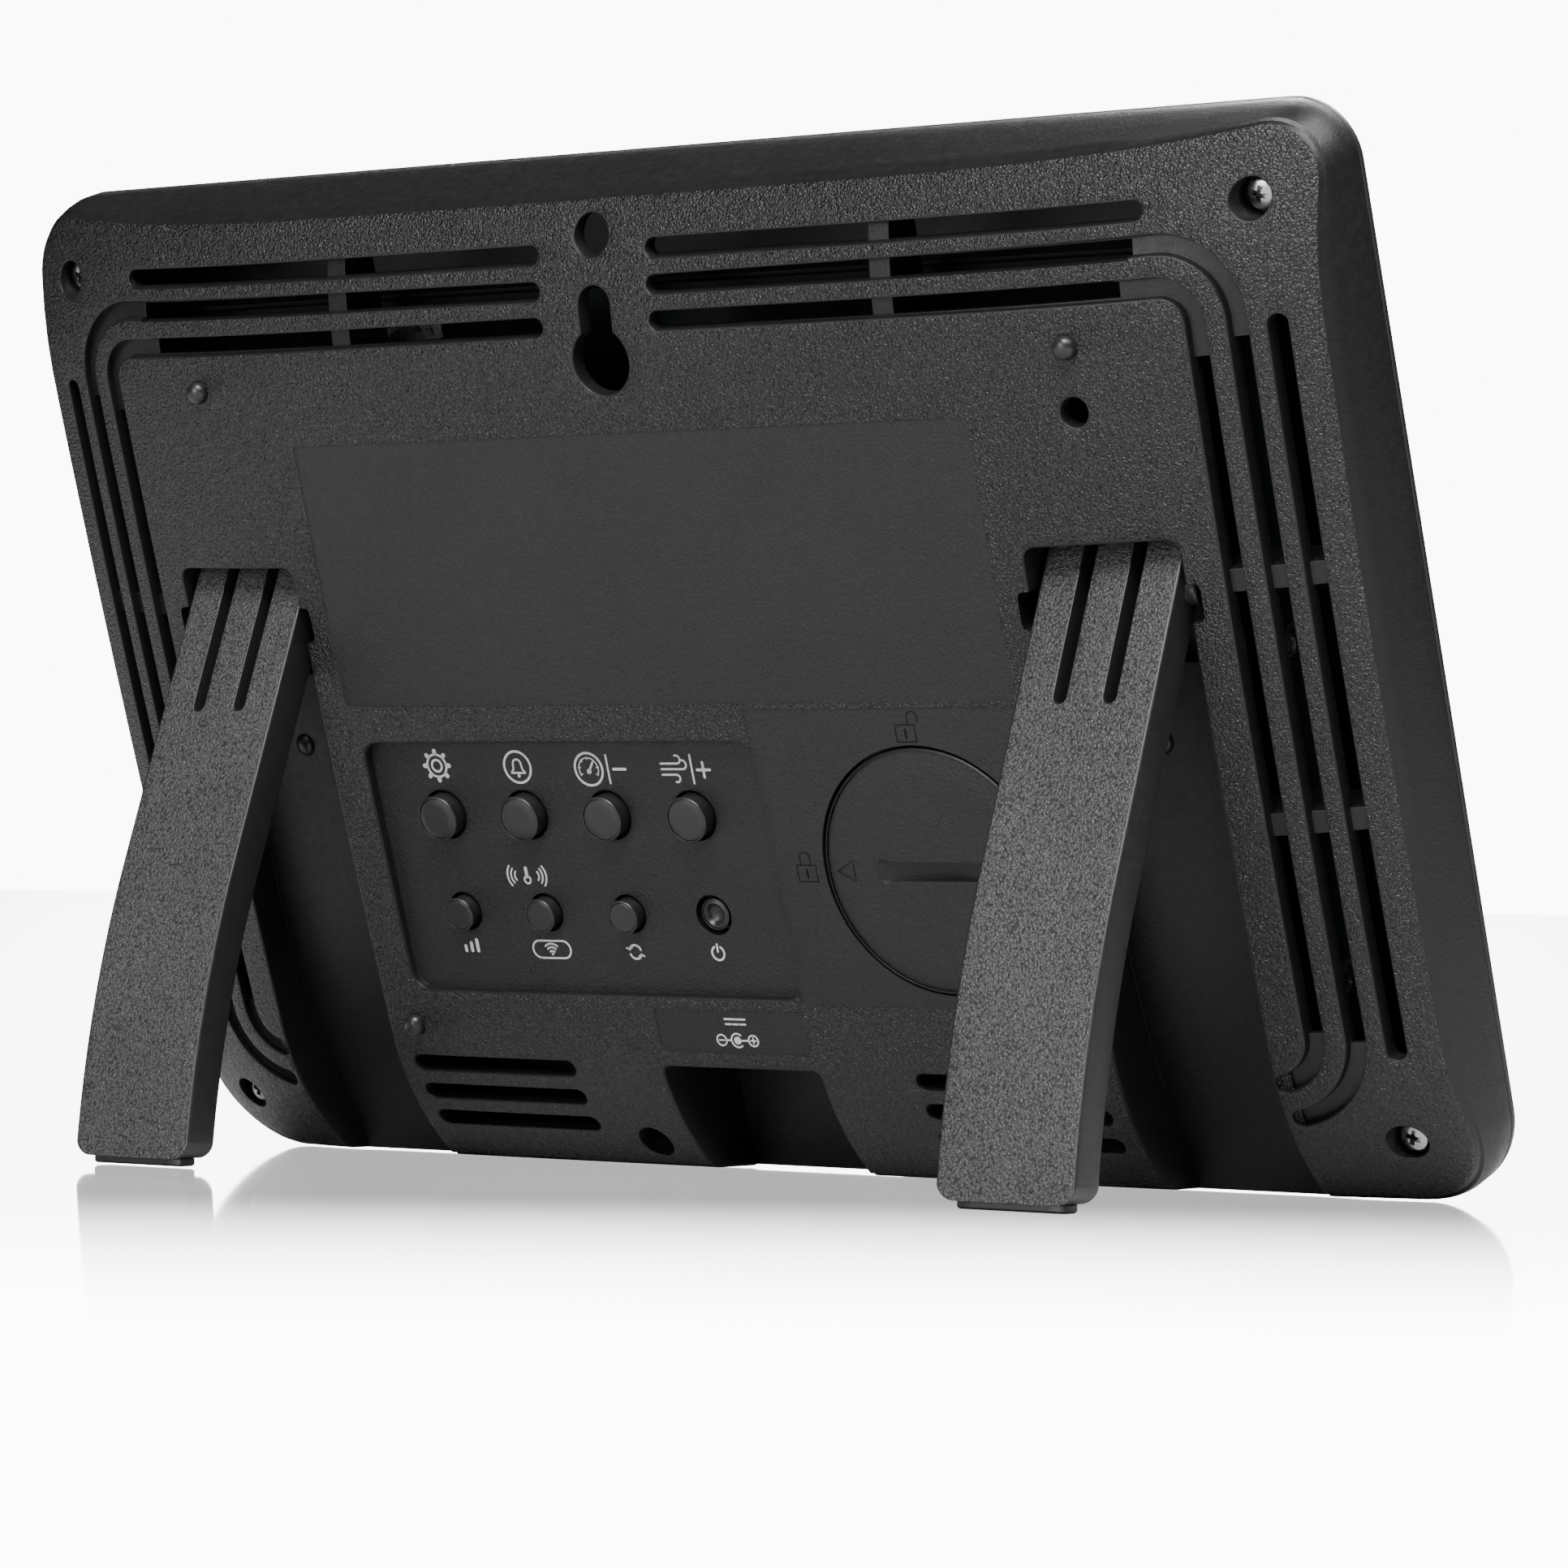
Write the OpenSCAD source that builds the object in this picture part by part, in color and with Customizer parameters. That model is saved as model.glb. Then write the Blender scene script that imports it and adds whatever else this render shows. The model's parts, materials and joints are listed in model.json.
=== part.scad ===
// Tabletop weather display console: a slim case that leans back on two fold-out legs.
// Everything is modelled with the case upright and its display facing -Y, then stood on the table.

/* [Case] */
// Width of the case
case_w = 202; // [198:1:206]
// Height of the case at its widest plane
case_h = 137.3; // [136:0.1:139]
// Depth of the back's crown behind the widest plane
case_d = 20.3; // [20:0.1:21]
// Depth of the bezel in front of the widest plane
bezel_d = 5; // [5:0.5:8]
// Radius of the two upper corners seen from the front
corner_r = 8; // [7:0.5:9]
// Radius of the two lower corners seen from the front
low_corner_r = 11; // [10:0.5:12]
// Wall thickness of the shells
wall = 2.2; // [2:0.1:2.3]
// Angle that the case leans back when it stands on its legs
lean = 19.5; // [17:0.5:21]

/* [Legs] */
// Distance of each leg's centre line from the middle
leg_x = 67.8; // [67:0.1:68.2]
// Width of a leg
leg_w = 19.4; // [18:0.1:19.6]
// Thickness of a leg
leg_t = 5.2; // [4.8:0.1:5.4]
// Angle between the stored and the standing position
leg_swing = 39.5; // [36:0.5:41]

/* [Keys] */
// Diameter of the four large keys
key_d = 6.2; // [6:0.1:6.8]
// Diameter of the three small keys
small_key_d = 4.7; // [4.5:0.1:5.2]
// Key travel
key_travel = 0.5; // [0.3:0.1:0.6]

/* [Battery door] */
// Diameter of the round door
door_d = 32.4; // [31:0.1:32.6]

/* [Hidden] */
$fn = 48;
skin_fn = 32;          // facets of the rounded outline where it is hulled
eps = 0.01;
run = 0.06;            // radial clearance of a running fit
gap = 0.3;             // clearance between pieces that move past each other
far = 30;              // a depth safely behind the whole case

// Back surface: crowned in the middle and tucked in towards every edge
crown_x = 8.5;
crown_power = 5;
barrel = 1.5;
top_roll = 3.9;
top_roll_z = case_h - 23.3;
top_roll_len = 20;
bottom_roll = 5.8;
bottom_roll_z = 23.5;
bottom_roll_len = 19.5;
function sq(v) = v * v;
function back_y(x, z) = case_d
    - crown_x * pow(abs(x) / (case_w / 2), crown_power)
    - barrel * sq((z - case_h / 2) / (case_h / 2))
    - top_roll * sq(max(0, z - top_roll_z) / top_roll_len)
    - bottom_roll * sq(max(0, bottom_roll_z - z) / bottom_roll_len);

// Drafted side walls
part_y = 1.2;          // parting plane of the two shells
side_draft = 0.17;
top_draft = 0.227;
foot_y = 3.6;          // behind this line the bottom wall rises, to lie flat on the table
bottom_draft = tan(lean);
skin_y = case_d + 1;
bezel_floor = -2.4;    // inner face of the bezel's front plate
bezel_knee = [-3.6, 2.6];  // the bezel's sides lean in to here (y, distance in) from the widest plane
bezel_round = 4.4;
bezel_cavity_in = 3.6; // inset of the bezel's hollow in front of the widest plane
back_corner_less = 1;  // the corners are this much tighter at the back

// Case screws, each in a deep bore: [x, z]
screw_x = 92;
screw_sites = [[screw_x, 127.8], [-screw_x, 127.8], [screw_x, 10.5], [-screw_x, 10.5], [19.3, 7.6]];
head_bore_r = 2.5;
seat_y = 8;
screw_head_r = 1.95;
screw_head_t = 1.8;
screw_r = 1.25;

// Wall-mounting holes and the sensor hole
hang_z = 129.9;
hang_r = 2.6;
keyhole_z = 114.4;
keyhole_r = 4.25;
neck_r = 2.4;
neck_z = 121.4;
probe_x = -67.5;
probe_z = 105;
probe_r = 1.8;

// Vents: three nested slots that turn the upper and lower corners as blind grooves
slot_w = 2.3;
top_slot_z = [127.9, 123.5, 119.1];
top_slot_in = 8.4;
top_slot_out = [79, 77, 75];
side_slot_x = [94, 89.4, 84.4];
side_slot_hi = [114.4, 112.1, 110.2];
side_slot_lo = [22.1, 24.3, 25.8];
upper_bend = [79.9, 114.4];
lower_bend = [78.5, 25.5];
lower_bend_stop = 1.8; // the lower grooves end this far outside the bend's centre
groove_y = [0, 13.9, 15.2];
groove_back_t = 1.2;
low_slot_z = [19.1, 14.7, 10.3];
low_slot_in = 27.2;
low_slot_out = 54.6;
rib_x = 43;
rib_z = [83, 52.5];
rib_t = 2.8;
rib_drop = 1.4;

// Domed studs
wall_bumper_sites = [[67.7, 112.9], [-67.7, 112.9], [52.6, 24.8], [-52.6, 24.8]];
leg_bumper_z = 62;
bumper_r = 1.5;
bumper_rise = 1.5;
leg_bumper_rise = 0.9;
bumper_seat = 1.4;

// Key panel, recessed in the back
panel_x = [-12.2, 51.2];
panel_z = [30, 64.6];
panel_y = 18.5;
panel_t = 2;
panel_r = 2.5;
key_pitch = 13.55;
key_x0 = 40.7;
large_key_z = 54.3;
small_key_z = 40.8;
reset_hole_r = 2.75;

// Battery compartment
cell_x = -36.4;
cell_z = 47.6;
cell_r = 10;
cell_t = 3.2;
door_y = 20.1;
door_t = 1.5;
lip_y = 17.3;
cup_r = 17.4;
cup_y = 11.6;
lug_r = 16.5;
lug_w = 5;
skirt_r = 14.4;
skirt_y = 16;

// Plug bay in the bottom edge, and the inlet in its roof
bay_x = 12.5;
bay_top = 20;
bay_y = 3.5;
jack_y = 11;
jack_nose_r = 3.8;
plug_r = 2.9;

// Leg hinges and channels
pivot_y = 15.4;
pivot_z = 81.7;
trunnion_r = 1.7;
trunnion_len = 1.5;
leg_end_r = 6.3;       // the leg's upper end is rounded about the hinge
hinge_r = 2.5;
leg_slot_w = 1.8;
leg_slot_x = 3.5;
leg_slot_len = 15.6;
channel_top = 88.7;
channel_w = 20.8;
channel_lining_t = 2;
hinge_cheek_t = 3.4;
pocket_y = 8.6;
pocket_z = 72;
leg_face_y = 18.9;     // outer face of a stored leg
bow_z = 45;            // a stored leg curves forward below this height
bow_r = 153.7;
floor_gap = 1.4;       // room between a stored leg and its channel
pad_t = 1;
pad_w = 15.4;

// Boards and display
board_y = 5;
board_t = 1.6;
board_x = 87;
board_z = [23, 121];
board_top = board_y + board_t;
board_sites = [for (x = [-84, 84], z = [30, 73, 117]) [x, z]];
lcd_x = 80;
lcd_z = [20, 120];
glass_t = 1.1;
lcd_ledge = 7;
window_x = 77;
window_z = [24, 117];
window_y = -3.8;
window_lap = 4;
key_board_y = 8.6;
key_board_top = key_board_y + board_t;
key_board_sites = [[-6.4, 61.6], [46.4, 61.6], [-6.4, 47.6], [46.4, 47.6]];
switch_y = key_board_top + 2.6;
plunger_y = switch_y + 0.7;
cap_back_y = plunger_y + key_travel + gap;
flange_y = [panel_y - panel_t - gap - 1.2, panel_y - panel_t - gap];

// ---------- standing on the table ----------
// Height and depth of an upright point [y, z] once the case leans back
function leaned(p) = [p[0] * cos(lean) + p[1] * sin(lean),
    -p[0] * sin(lean) + p[1] * cos(lean) + foot_y * sin(lean)];
function swung(p) = let (y = p[0] - pivot_y, z = p[1] - pivot_z)
    [pivot_y + y * cos(leg_swing) - z * sin(leg_swing), pivot_z + y * sin(leg_swing) + z * cos(leg_swing)];
bow_centre = leaned(swung([leg_face_y - bow_r, bow_z]));
function toe(r) = bow_centre[0] + sqrt(sq(r) - sq(pad_t - bow_centre[1]));
toe_outer = toe(bow_r);
toe_inner = toe(bow_r - leg_t);
front_edge = leaned([-bezel_d, bezel_round])[0];
stand_y = -(toe_outer + front_edge) / 2;

module stand() {
    translate([0, stand_y, foot_y * sin(lean)]) rotate([-lean, 0, 0]) children();
}
// Children given in the leaned frame, turned back into the upright one
module upright() {
    rotate([lean, 0, 0]) translate([0, 0, -foot_y * sin(lean)]) children();
}
module swing_leg() {
    translate([0, pivot_y, pivot_z]) rotate([leg_swing, 0, 0]) translate([0, -pivot_y, -pivot_z]) children();
}

// ---------- helpers ----------
module along_y(r, y0, y1) {
    translate([0, y0, 0]) rotate([-90, 0, 0]) cylinder(r = r, h = y1 - y0);
}
module along_x(r, x0, x1) {
    translate([x0, 0, 0]) rotate([0, 90, 0]) cylinder(r = r, h = x1 - x0);
}
module along_z(r, z0, z1) {
    translate([0, 0, z0]) cylinder(r = r, h = z1 - z0);
}
module block(x0, x1, y0, y1, z0, z1) {
    translate([x0, y0, z0]) cube([x1 - x0, y1 - y0, z1 - z0]);
}
module at(x, z) {
    translate([x, 0, z]) children();
}
module both_sides() {
    children();
    mirror([1, 0, 0]) children();
}
// Profile drawn in the YZ plane, as wide as x0 to x1
module yz_profile(x0, x1) {
    translate([x0, 0, 0]) rotate([90, 0, 90]) linear_extrude(x1 - x0) children();
}
// Slot with round ends, along X
module round_slot_x(x0, x1, z, y0) {
    block(x0 + slot_w / 2, x1 - slot_w / 2, y0, far, z - slot_w / 2, z + slot_w / 2);
    for (x = [x0 + slot_w / 2, x1 - slot_w / 2]) at(x, z) along_y(slot_w / 2, y0, far);
}
// Rounded plate standing in the XZ plane
module plate(x0, x1, z0, z1, r, y0, y1) {
    block(x0 + r, x1 - r, y0, y1, z0, z1);
    block(x0, x1, y0, y1, z0 + r, z1 - r);
    for (x = [x0 + r, x1 - r], z = [z0 + r, z1 - r]) at(x, z) along_y(r, y0, y1);
}
// The case outline shrunk by s, as a plate
module outline_plate(s, y0, y1) {
    half = case_w / 2 - s;
    r = corner_r - s;
    low_r = low_corner_r - s;
    block(low_r - half, half - low_r, y0, y1, s, case_h - s);
    block(r - half, half - r, y0, y1, s + low_r, case_h - s);
    block(-half, half, y0, y1, s + low_r, case_h - s - r);
    for (x = [r - half, half - r]) at(x, case_h - s - r) along_y(r, y0, y1);
    for (x = [low_r - half, half - low_r]) at(x, s + low_r) along_y(low_r, y0, y1);
}
// Four corner discs of an outline, to be hulled
module outline_slab(half_w, z0, z1, r, y, t) {
    low_r = r + low_corner_r - corner_r;
    for (x = [r - half_w, half_w - r])
        translate([x, y, z1 - r]) rotate([-90, 0, 0]) cylinder(r = r, h = t, $fn = skin_fn);
    for (x = [low_r - half_w, half_w - low_r])
        translate([x, y, z0 + low_r]) rotate([-90, 0, 0]) cylinder(r = low_r, h = t, $fn = skin_fn);
}
// Drafted prism of the rear cover, shrunk all round by s
module draft_prism(s) {
    rise = skin_y - part_y;
    lead = s > 0 ? 1 : 0;
    hull() {
        outline_slab(case_w / 2 - s, s, case_h - s, corner_r - s, part_y - lead, foot_y - part_y);
        outline_slab(case_w / 2 - side_draft * rise - s, bottom_draft * (skin_y - foot_y) + s,
            case_h - top_draft * rise - s, corner_r - back_corner_less - s, skin_y, eps);
    }
}
// Everything in front of the crowned back surface, lowered by s
module crown_body(s) {
    half = [24, 42, 56, 66, 75, 83, 90, 96, case_w / 2 + 2];
    xs = concat([for (i = [len(half) - 1:-1:0]) -half[i]], [0], half);
    zs = [-3, 3, 7, 11, 15, 19, 23.5, 40, 60, 80, 100, 114, 118, 122, 126, 130, 134, case_h + 3];
    nx = len(xs);
    nz = len(zs);
    n = nx * nz;
    skin = [for (z = zs, x = xs) [x, back_y(x, z) - s, z]];
    base = [for (z = [zs[0], zs[nz - 1]], x = [xs[0], xs[nx - 1]]) [x, part_y - 2, z]];
    faces = [for (j = [0:nz - 2], i = [0:nx - 2], half_quad = [0, 1])
        let (a = j * nx + i)
        half_quad == 0 ? [a, a + 1, a + nx + 1] : [a, a + nx + 1, a + nx]];
    bottom = concat([for (i = [nx - 1:-1:0]) i], [n, n + 1]);
    top = concat([for (i = [0:nx - 1]) (nz - 1) * nx + i], [n + 3, n + 2]);
    low_x = concat([for (j = [0:nz - 1]) j * nx], [n + 2, n]);
    high_x = concat([for (j = [nz - 1:-1:0]) j * nx + nx - 1], [n + 1, n + 3]);
    polyhedron(points = concat(skin, base), faces = concat(faces, [bottom, top, low_x, high_x,
        [n, n + 2, n + 3, n + 1]]));
}

// ---------- front ----------
module front_bezel() {
    color([0.07, 0.07, 0.075]) difference() {
        union() {
            difference() {
                hull() {
                    outline_slab(case_w / 2, 0, case_h, corner_r, 0, part_y - gap);
                    outline_slab(case_w / 2 - bezel_knee[1], bezel_knee[1], case_h - bezel_knee[1],
                        corner_r - bezel_knee[1], bezel_knee[0], 1);
                    outline_slab(case_w / 2 - bezel_round, bezel_round, case_h - bezel_round,
                        corner_r - bezel_round, -bezel_d, 1);
                }
                outline_plate(wall, 0, far);
                outline_plate(bezel_cavity_in, bezel_floor, far);
            }
            // tongue that enters the rear cover
            difference() {
                outline_plate(wall + 0.6, bezel_floor - eps, part_y + 1.2);
                outline_plate(wall + 1.6, bezel_floor - 1, far);
                block(-bay_x - 3, bay_x + 3, part_y - gap, far, 0, 9);
            }
            for (s = screw_sites) at(s[0], s[1]) along_y(3.4, bezel_floor - eps, seat_y - 3 - gap);
            for (s = board_sites) at(s[0], s[1]) along_y(2.2, bezel_floor - eps, board_y);
        }
        plate(-window_x, window_x, window_z[0], window_z[1], 2, -far, far);
        plate(-window_x - window_lap, window_x + window_lap, window_z[0] - window_lap,
            window_z[1] + window_lap, window_lap, -far, window_y);
        for (s = screw_sites) at(s[0], s[1]) along_y(screw_r + 0.05, -1.5, far);
        for (s = board_sites) at(s[0], s[1]) along_y(0.95, -1, far);
    }
}
module display_window() {
    lap = window_lap - 0.15;
    color([0.05, 0.06, 0.07, 0.6]) plate(-window_x - lap, window_x + lap, window_z[0] - lap,
        window_z[1] + lap, lap, -bezel_d, window_y);
}
module lcd_panel() {
    color([0.25, 0.3, 0.32]) {
        block(-lcd_x, lcd_x, bezel_floor + 0.1, bezel_floor + glass_t + 0.1, lcd_z[0], lcd_z[1]);
        block(-lcd_x, lcd_x, bezel_floor + glass_t + 0.1, bezel_floor + 2 * glass_t + 0.1,
            lcd_z[0] + lcd_ledge, lcd_z[1]);
    }
}
module lcd_connectors() {
    color([0.75, 0.3, 0.4]) for (x = [-70, 10])
        block(x, x + 60, bezel_floor + glass_t + 0.1, board_y, lcd_z[0] + 3.6, lcd_z[0] + 6);
}
module light_guide() {
    color([0.93, 0.95, 0.96]) block(-lcd_x + 1, lcd_x - 1, 0.2, 3, 30, lcd_z[1] - 1);
}
module backlight_leds() {
    color([0.95, 0.93, 0.8]) for (i = [-5:5])
        block(i * 14 - 1.8, i * 14 + 1.8, 0.5, 2.7, 27.8, 29.6);
}
module lcd_carrier() {
    color([0.09, 0.09, 0.1]) difference() {
        plate(-lcd_x - 1.4, lcd_x + 1.4, lcd_z[0] - 1.4, lcd_z[1] + 1.4, 1.5,
            bezel_floor + eps, board_y - 0.1);
        block(-lcd_x - 0.1, lcd_x + 0.1, -far, far, lcd_z[0] - 0.1, lcd_z[1] + 0.1);
        block(-bay_x - 3, bay_x + 3, bay_y - 2, far, 0, lcd_z[0] + 1);
    }
}

// ---------- electronics ----------
module main_board() {
    color([0.05, 0.25, 0.14]) difference() {
        plate(-board_x, board_x, board_z[0], board_z[1], 2, board_y, board_top);
        for (s = board_sites) at(s[0], s[1]) along_y(1.1, -far, far);
    }
}
module board_screws() {
    color([0.8, 0.8, 0.82]) for (s = board_sites) at(s[0], s[1]) {
        along_y(2, board_top, board_top + 1.3);
        along_y(0.9, 0, board_top + eps);
    }
}
module board_chips() {
    color([0.09, 0.09, 0.1]) {
        block(-8, 6, board_top, board_top + 1.6, 78, 92);
        block(20, 26, board_top, board_top + 1.5, 82, 90);
        block(-26, -19, board_top, board_top + 1.5, 70, 75);
        for (i = [0:5]) block(30 + i * 3, 31.6 + i * 3, board_top, board_top + 0.8, 92, 93.2);
    }
}
module radio_module() {
    color([0.72, 0.73, 0.75]) {
        block(34, 52, board_top, board_top + 0.9, 100, 118);
        block(35.5, 50.5, board_top + 0.9, board_top + 3.2, 101, 112);
    }
}
module climate_sensor() {
    color([0.9, 0.9, 0.88]) {
        block(-75, -60, board_top, board_top + 1.2, 98, 111);
        block(-70, -65, board_top + 1.2, board_top + 3, 102.5, 107.5);
    }
}
module piezo_buzzer() {
    color([0.12, 0.12, 0.13]) at(-20, 96) difference() {
        along_y(6, board_top, board_top + 4.5);
        along_y(1, board_top + 3.5, far);
    }
}
module ribbon_cable() {
    color([0.88, 0.88, 0.86]) {
        block(14, 28, board_top, board_top + 1.6, 66.4, 69.4);
        block(15, 27, board_top + 1.6, key_board_y, 62, 69);
    }
}
module button_board() {
    color([0.05, 0.25, 0.14]) difference() {
        block(-9, 49, key_board_y, key_board_top, 36.2, 64.2);
        for (s = key_board_sites) at(s[0], s[1]) along_y(1.1, -far, far);
    }
}
module button_board_screws() {
    color([0.8, 0.8, 0.82]) for (s = key_board_sites) at(s[0], s[1]) {
        along_y(1.9, key_board_y - 1.2, key_board_y);
        along_y(0.9, key_board_y - eps, key_board_y + 5.5);
    }
}
module tact_switch() {
    block(-2.6, 2.6, key_board_top, switch_y, -2.6, 2.6);
    along_y(1.4, switch_y - eps, plunger_y);
}
module tact_switches() {
    color([0.15, 0.15, 0.16]) for (i = [0:3], z = [large_key_z, small_key_z])
        at(key_x0 - i * key_pitch, z) tact_switch();
}
module dc_jack() {
    body_z = bay_top + wall;
    color([0.1, 0.1, 0.11]) translate([0, jack_y, 0]) {
        difference() {
            union() {
                block(-4.6, 4.6, board_top - jack_y, 4.4, body_z, body_z + 12.5);
                along_z(jack_nose_r - 0.05, bay_top, body_z + eps);
            }
            along_z(plug_r, bay_top - 1, body_z + 10);
        }
        along_z(0.95, body_z, body_z + 10 + eps);
    }
}
module battery_contacts() {
    color([0.85, 0.82, 0.7]) at(cell_x, cell_z) {
        difference() {
            along_y(6, cup_y, cup_y + 0.5);
            along_y(2, 0, far);
        }
        block(-3, 3, cup_y, cup_y + 4, cell_r + 0.4, cell_r + 0.8);
    }
}
module coin_cell() {
    color([0.78, 0.78, 0.8]) at(cell_x, cell_z) {
        along_y(cell_r - 1.2, cup_y + 0.5, cup_y + 0.8);
        along_y(cell_r, cup_y + 0.8, cup_y + 0.5 + cell_t);
    }
}

// ---------- rear cover ----------
// Space behind a surface that runs s in front of the stored leg's outer face
module leg_space(x0, x1, s, z1) {
    yz_profile(x0, x1) {
        translate([leg_face_y - s, bow_z]) square([far - leg_face_y + s, z1 - bow_z]);
        difference() {
            translate([0, -4]) square([far, bow_z + 4 + eps]);
            translate([leg_face_y - bow_r, bow_z]) circle(r = bow_r - s, $fn = 240);
        }
    }
}
module channel_cut() {
    x0 = leg_x - channel_w / 2;
    x1 = leg_x + channel_w / 2;
    reach = trunnion_len + 0.3;
    leg_space(x0, x1, leg_t + floor_gap, channel_top);
    block(x0, x1, pocket_y, far, pocket_z, channel_top);
    translate([0, pivot_y, pivot_z]) along_x(trunnion_r + run, x0 - reach, x1 + reach);
    // notches that the trunnions snap in through
    block(x0 - reach, x1 + reach, pivot_y + 1, far, pivot_z - 1.55, pivot_z + 1.55);
}
module channel_lining() {
    x0 = leg_x - channel_w / 2;
    x1 = leg_x + channel_w / 2;
    t = channel_lining_t;
    leg_space(x0 - t, x1 + t, leg_t + floor_gap + t, channel_top + t);
    block(x0 - t, x1 + t, pocket_y - 1.7, far, pocket_z - 2, channel_top + t);
    block(x0 - hinge_cheek_t, x1 + hinge_cheek_t, pivot_y - 4, far, pivot_z - 5, pivot_z + 5);
}
module vents() {
    y0 = board_y;
    round_slot_x(top_slot_in, top_slot_out[0], top_slot_z[0], y0);
    block(side_slot_x[0] - slot_w / 2, side_slot_x[0] + slot_w / 2, y0, far,
        side_slot_lo[0] + slot_w / 2, side_slot_hi[0] - slot_w / 2);
    for (z = [side_slot_lo[0] + slot_w / 2, side_slot_hi[0] - slot_w / 2])
        at(side_slot_x[0], z) along_y(slot_w / 2, y0, far);
    for (i = [1, 2]) {
        at(top_slot_in + slot_w / 2, top_slot_z[i]) along_y(slot_w / 2, y0, far);
        block(top_slot_in + slot_w / 2, top_slot_out[i], y0, far,
            top_slot_z[i] - slot_w / 2, top_slot_z[i] + slot_w / 2);
        block(side_slot_x[i] - slot_w / 2, side_slot_x[i] + slot_w / 2, y0, far,
            side_slot_lo[i], side_slot_hi[i]);
    }
    for (z = low_slot_z) round_slot_x(low_slot_in, low_slot_out, z, y0);
}
// Arc of a groove around a bend, within x0 to x1 and z0 to z1 of its centre
module bend_groove(r, y0, x0, x1, z0, z1) {
    intersection() {
        difference() {
            along_y(r + slot_w / 2, y0, far);
            along_y(r - slot_w / 2, 0, far + 1);
        }
        block(x0, x1, y0 - 1, far + 1, z0, z1);
    }
}
module grooves() {
    for (i = [1, 2]) {
        y = groove_y[i];
        x = side_slot_x[i];
        z = top_slot_z[i];
        block(top_slot_out[i] - eps, upper_bend[0], y, far, z - slot_w / 2, z + slot_w / 2);
        block(x - slot_w / 2, x + slot_w / 2, y, far, side_slot_hi[i] - eps, upper_bend[1]);
        at(upper_bend[0], upper_bend[1]) bend_groove(x - upper_bend[0], y, 0, 20, 0, 20);
        at(lower_bend[0], lower_bend[1])
            bend_groove(x - lower_bend[0], y, lower_bend_stop, 20, -20, side_slot_lo[i] - lower_bend[1]);
    }
}
// Extra thickness behind the blind grooves
module groove_backing() {
    y = groove_y[1] - groove_back_t;
    block(top_slot_out[2] - 0.5, side_slot_x[1] + 2, y, far, side_slot_hi[2], top_slot_z[1] + 2);
    block(lower_bend[0] + 1, side_slot_x[1] + 2, y, far, low_slot_z[1] - 2, side_slot_lo[2]);
}
module vent_ribs() {
    block(rib_x - rib_t / 2, rib_x + rib_t / 2, 10, far, 115, 131);
    for (z = rib_z) block(80, 97, 7, far, z - rib_t / 2, z + rib_t / 2);
}
module battery_cup() {
    at(cell_x, cell_z) difference() {
        along_y(cup_r + 1.6, cup_y - 1.6, far);
        along_y(cup_r, cup_y + 3.6, lip_y);
        along_y(cell_r + 0.3, cup_y, far);
        along_y(skirt_r + gap, lip_y - 1, far);
        block(-3.3, 3.3, cup_y, cup_y + 5, 0, cell_r + 1.1);
    }
}
module battery_opening() {
    at(cell_x, cell_z) {
        along_y(door_d / 2 + gap, door_y - door_t - gap, far);
        along_y(skirt_r + gap, lip_y - eps, far);
        // notches that let the door's lugs past the lip
        for (a = [90, 270]) rotate([0, a, 0])
            block(skirt_r - 1, lug_r + 0.3, lip_y - eps, far, -lug_w / 2 - 0.4, lug_w / 2 + 0.4);
    }
}
module key_holes() {
    for (i = [0:3]) {
        at(key_x0 - i * key_pitch, large_key_z) along_y(key_d / 2 + gap, 10, far);
        at(key_x0 - i * key_pitch, small_key_z)
            along_y(i < 3 ? small_key_d / 2 + gap : reset_hole_r, 10, far);
    }
}
module key_board_posts() {
    for (s = key_board_sites) at(s[0], s[1]) difference() {
        along_y(1.9, key_board_top, panel_y);
        along_y(0.95, 0, key_board_top + 4.5);
    }
}
module bumper_seat(s, y) {
    at(s[0], s[1]) {
        along_y(bumper_r + 0.05, y - bumper_seat, far);
        along_y(bumper_r + 0.7, y - 0.4, far);
    }
}
channel_floor_y = leg_face_y - leg_t - floor_gap;
module rear_cover_solids() {
    difference() {
        union() {
            difference() {
                draft_prism(0);
                intersection() {
                    draft_prism(wall);
                    crown_body(wall);
                }
            }
            both_sides() groove_backing();
        }
        both_sides() vents();
    }
    intersection() {
        union() {
            both_sides() vent_ribs();
        }
        crown_body(rib_drop);
    }
    both_sides() channel_lining();
    for (s = screw_sites) at(s[0], s[1]) along_y(4.3, seat_y - 3, far);
    block(-bay_x - wall, bay_x + wall, bay_y - 1.6, far, -1, bay_top + wall);
    battery_cup();
    block(panel_x[0] - 1, panel_x[1] + 1, panel_y - panel_t, far, panel_z[0] - 1, panel_z[1] + 1);
    key_board_posts();
}
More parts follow.
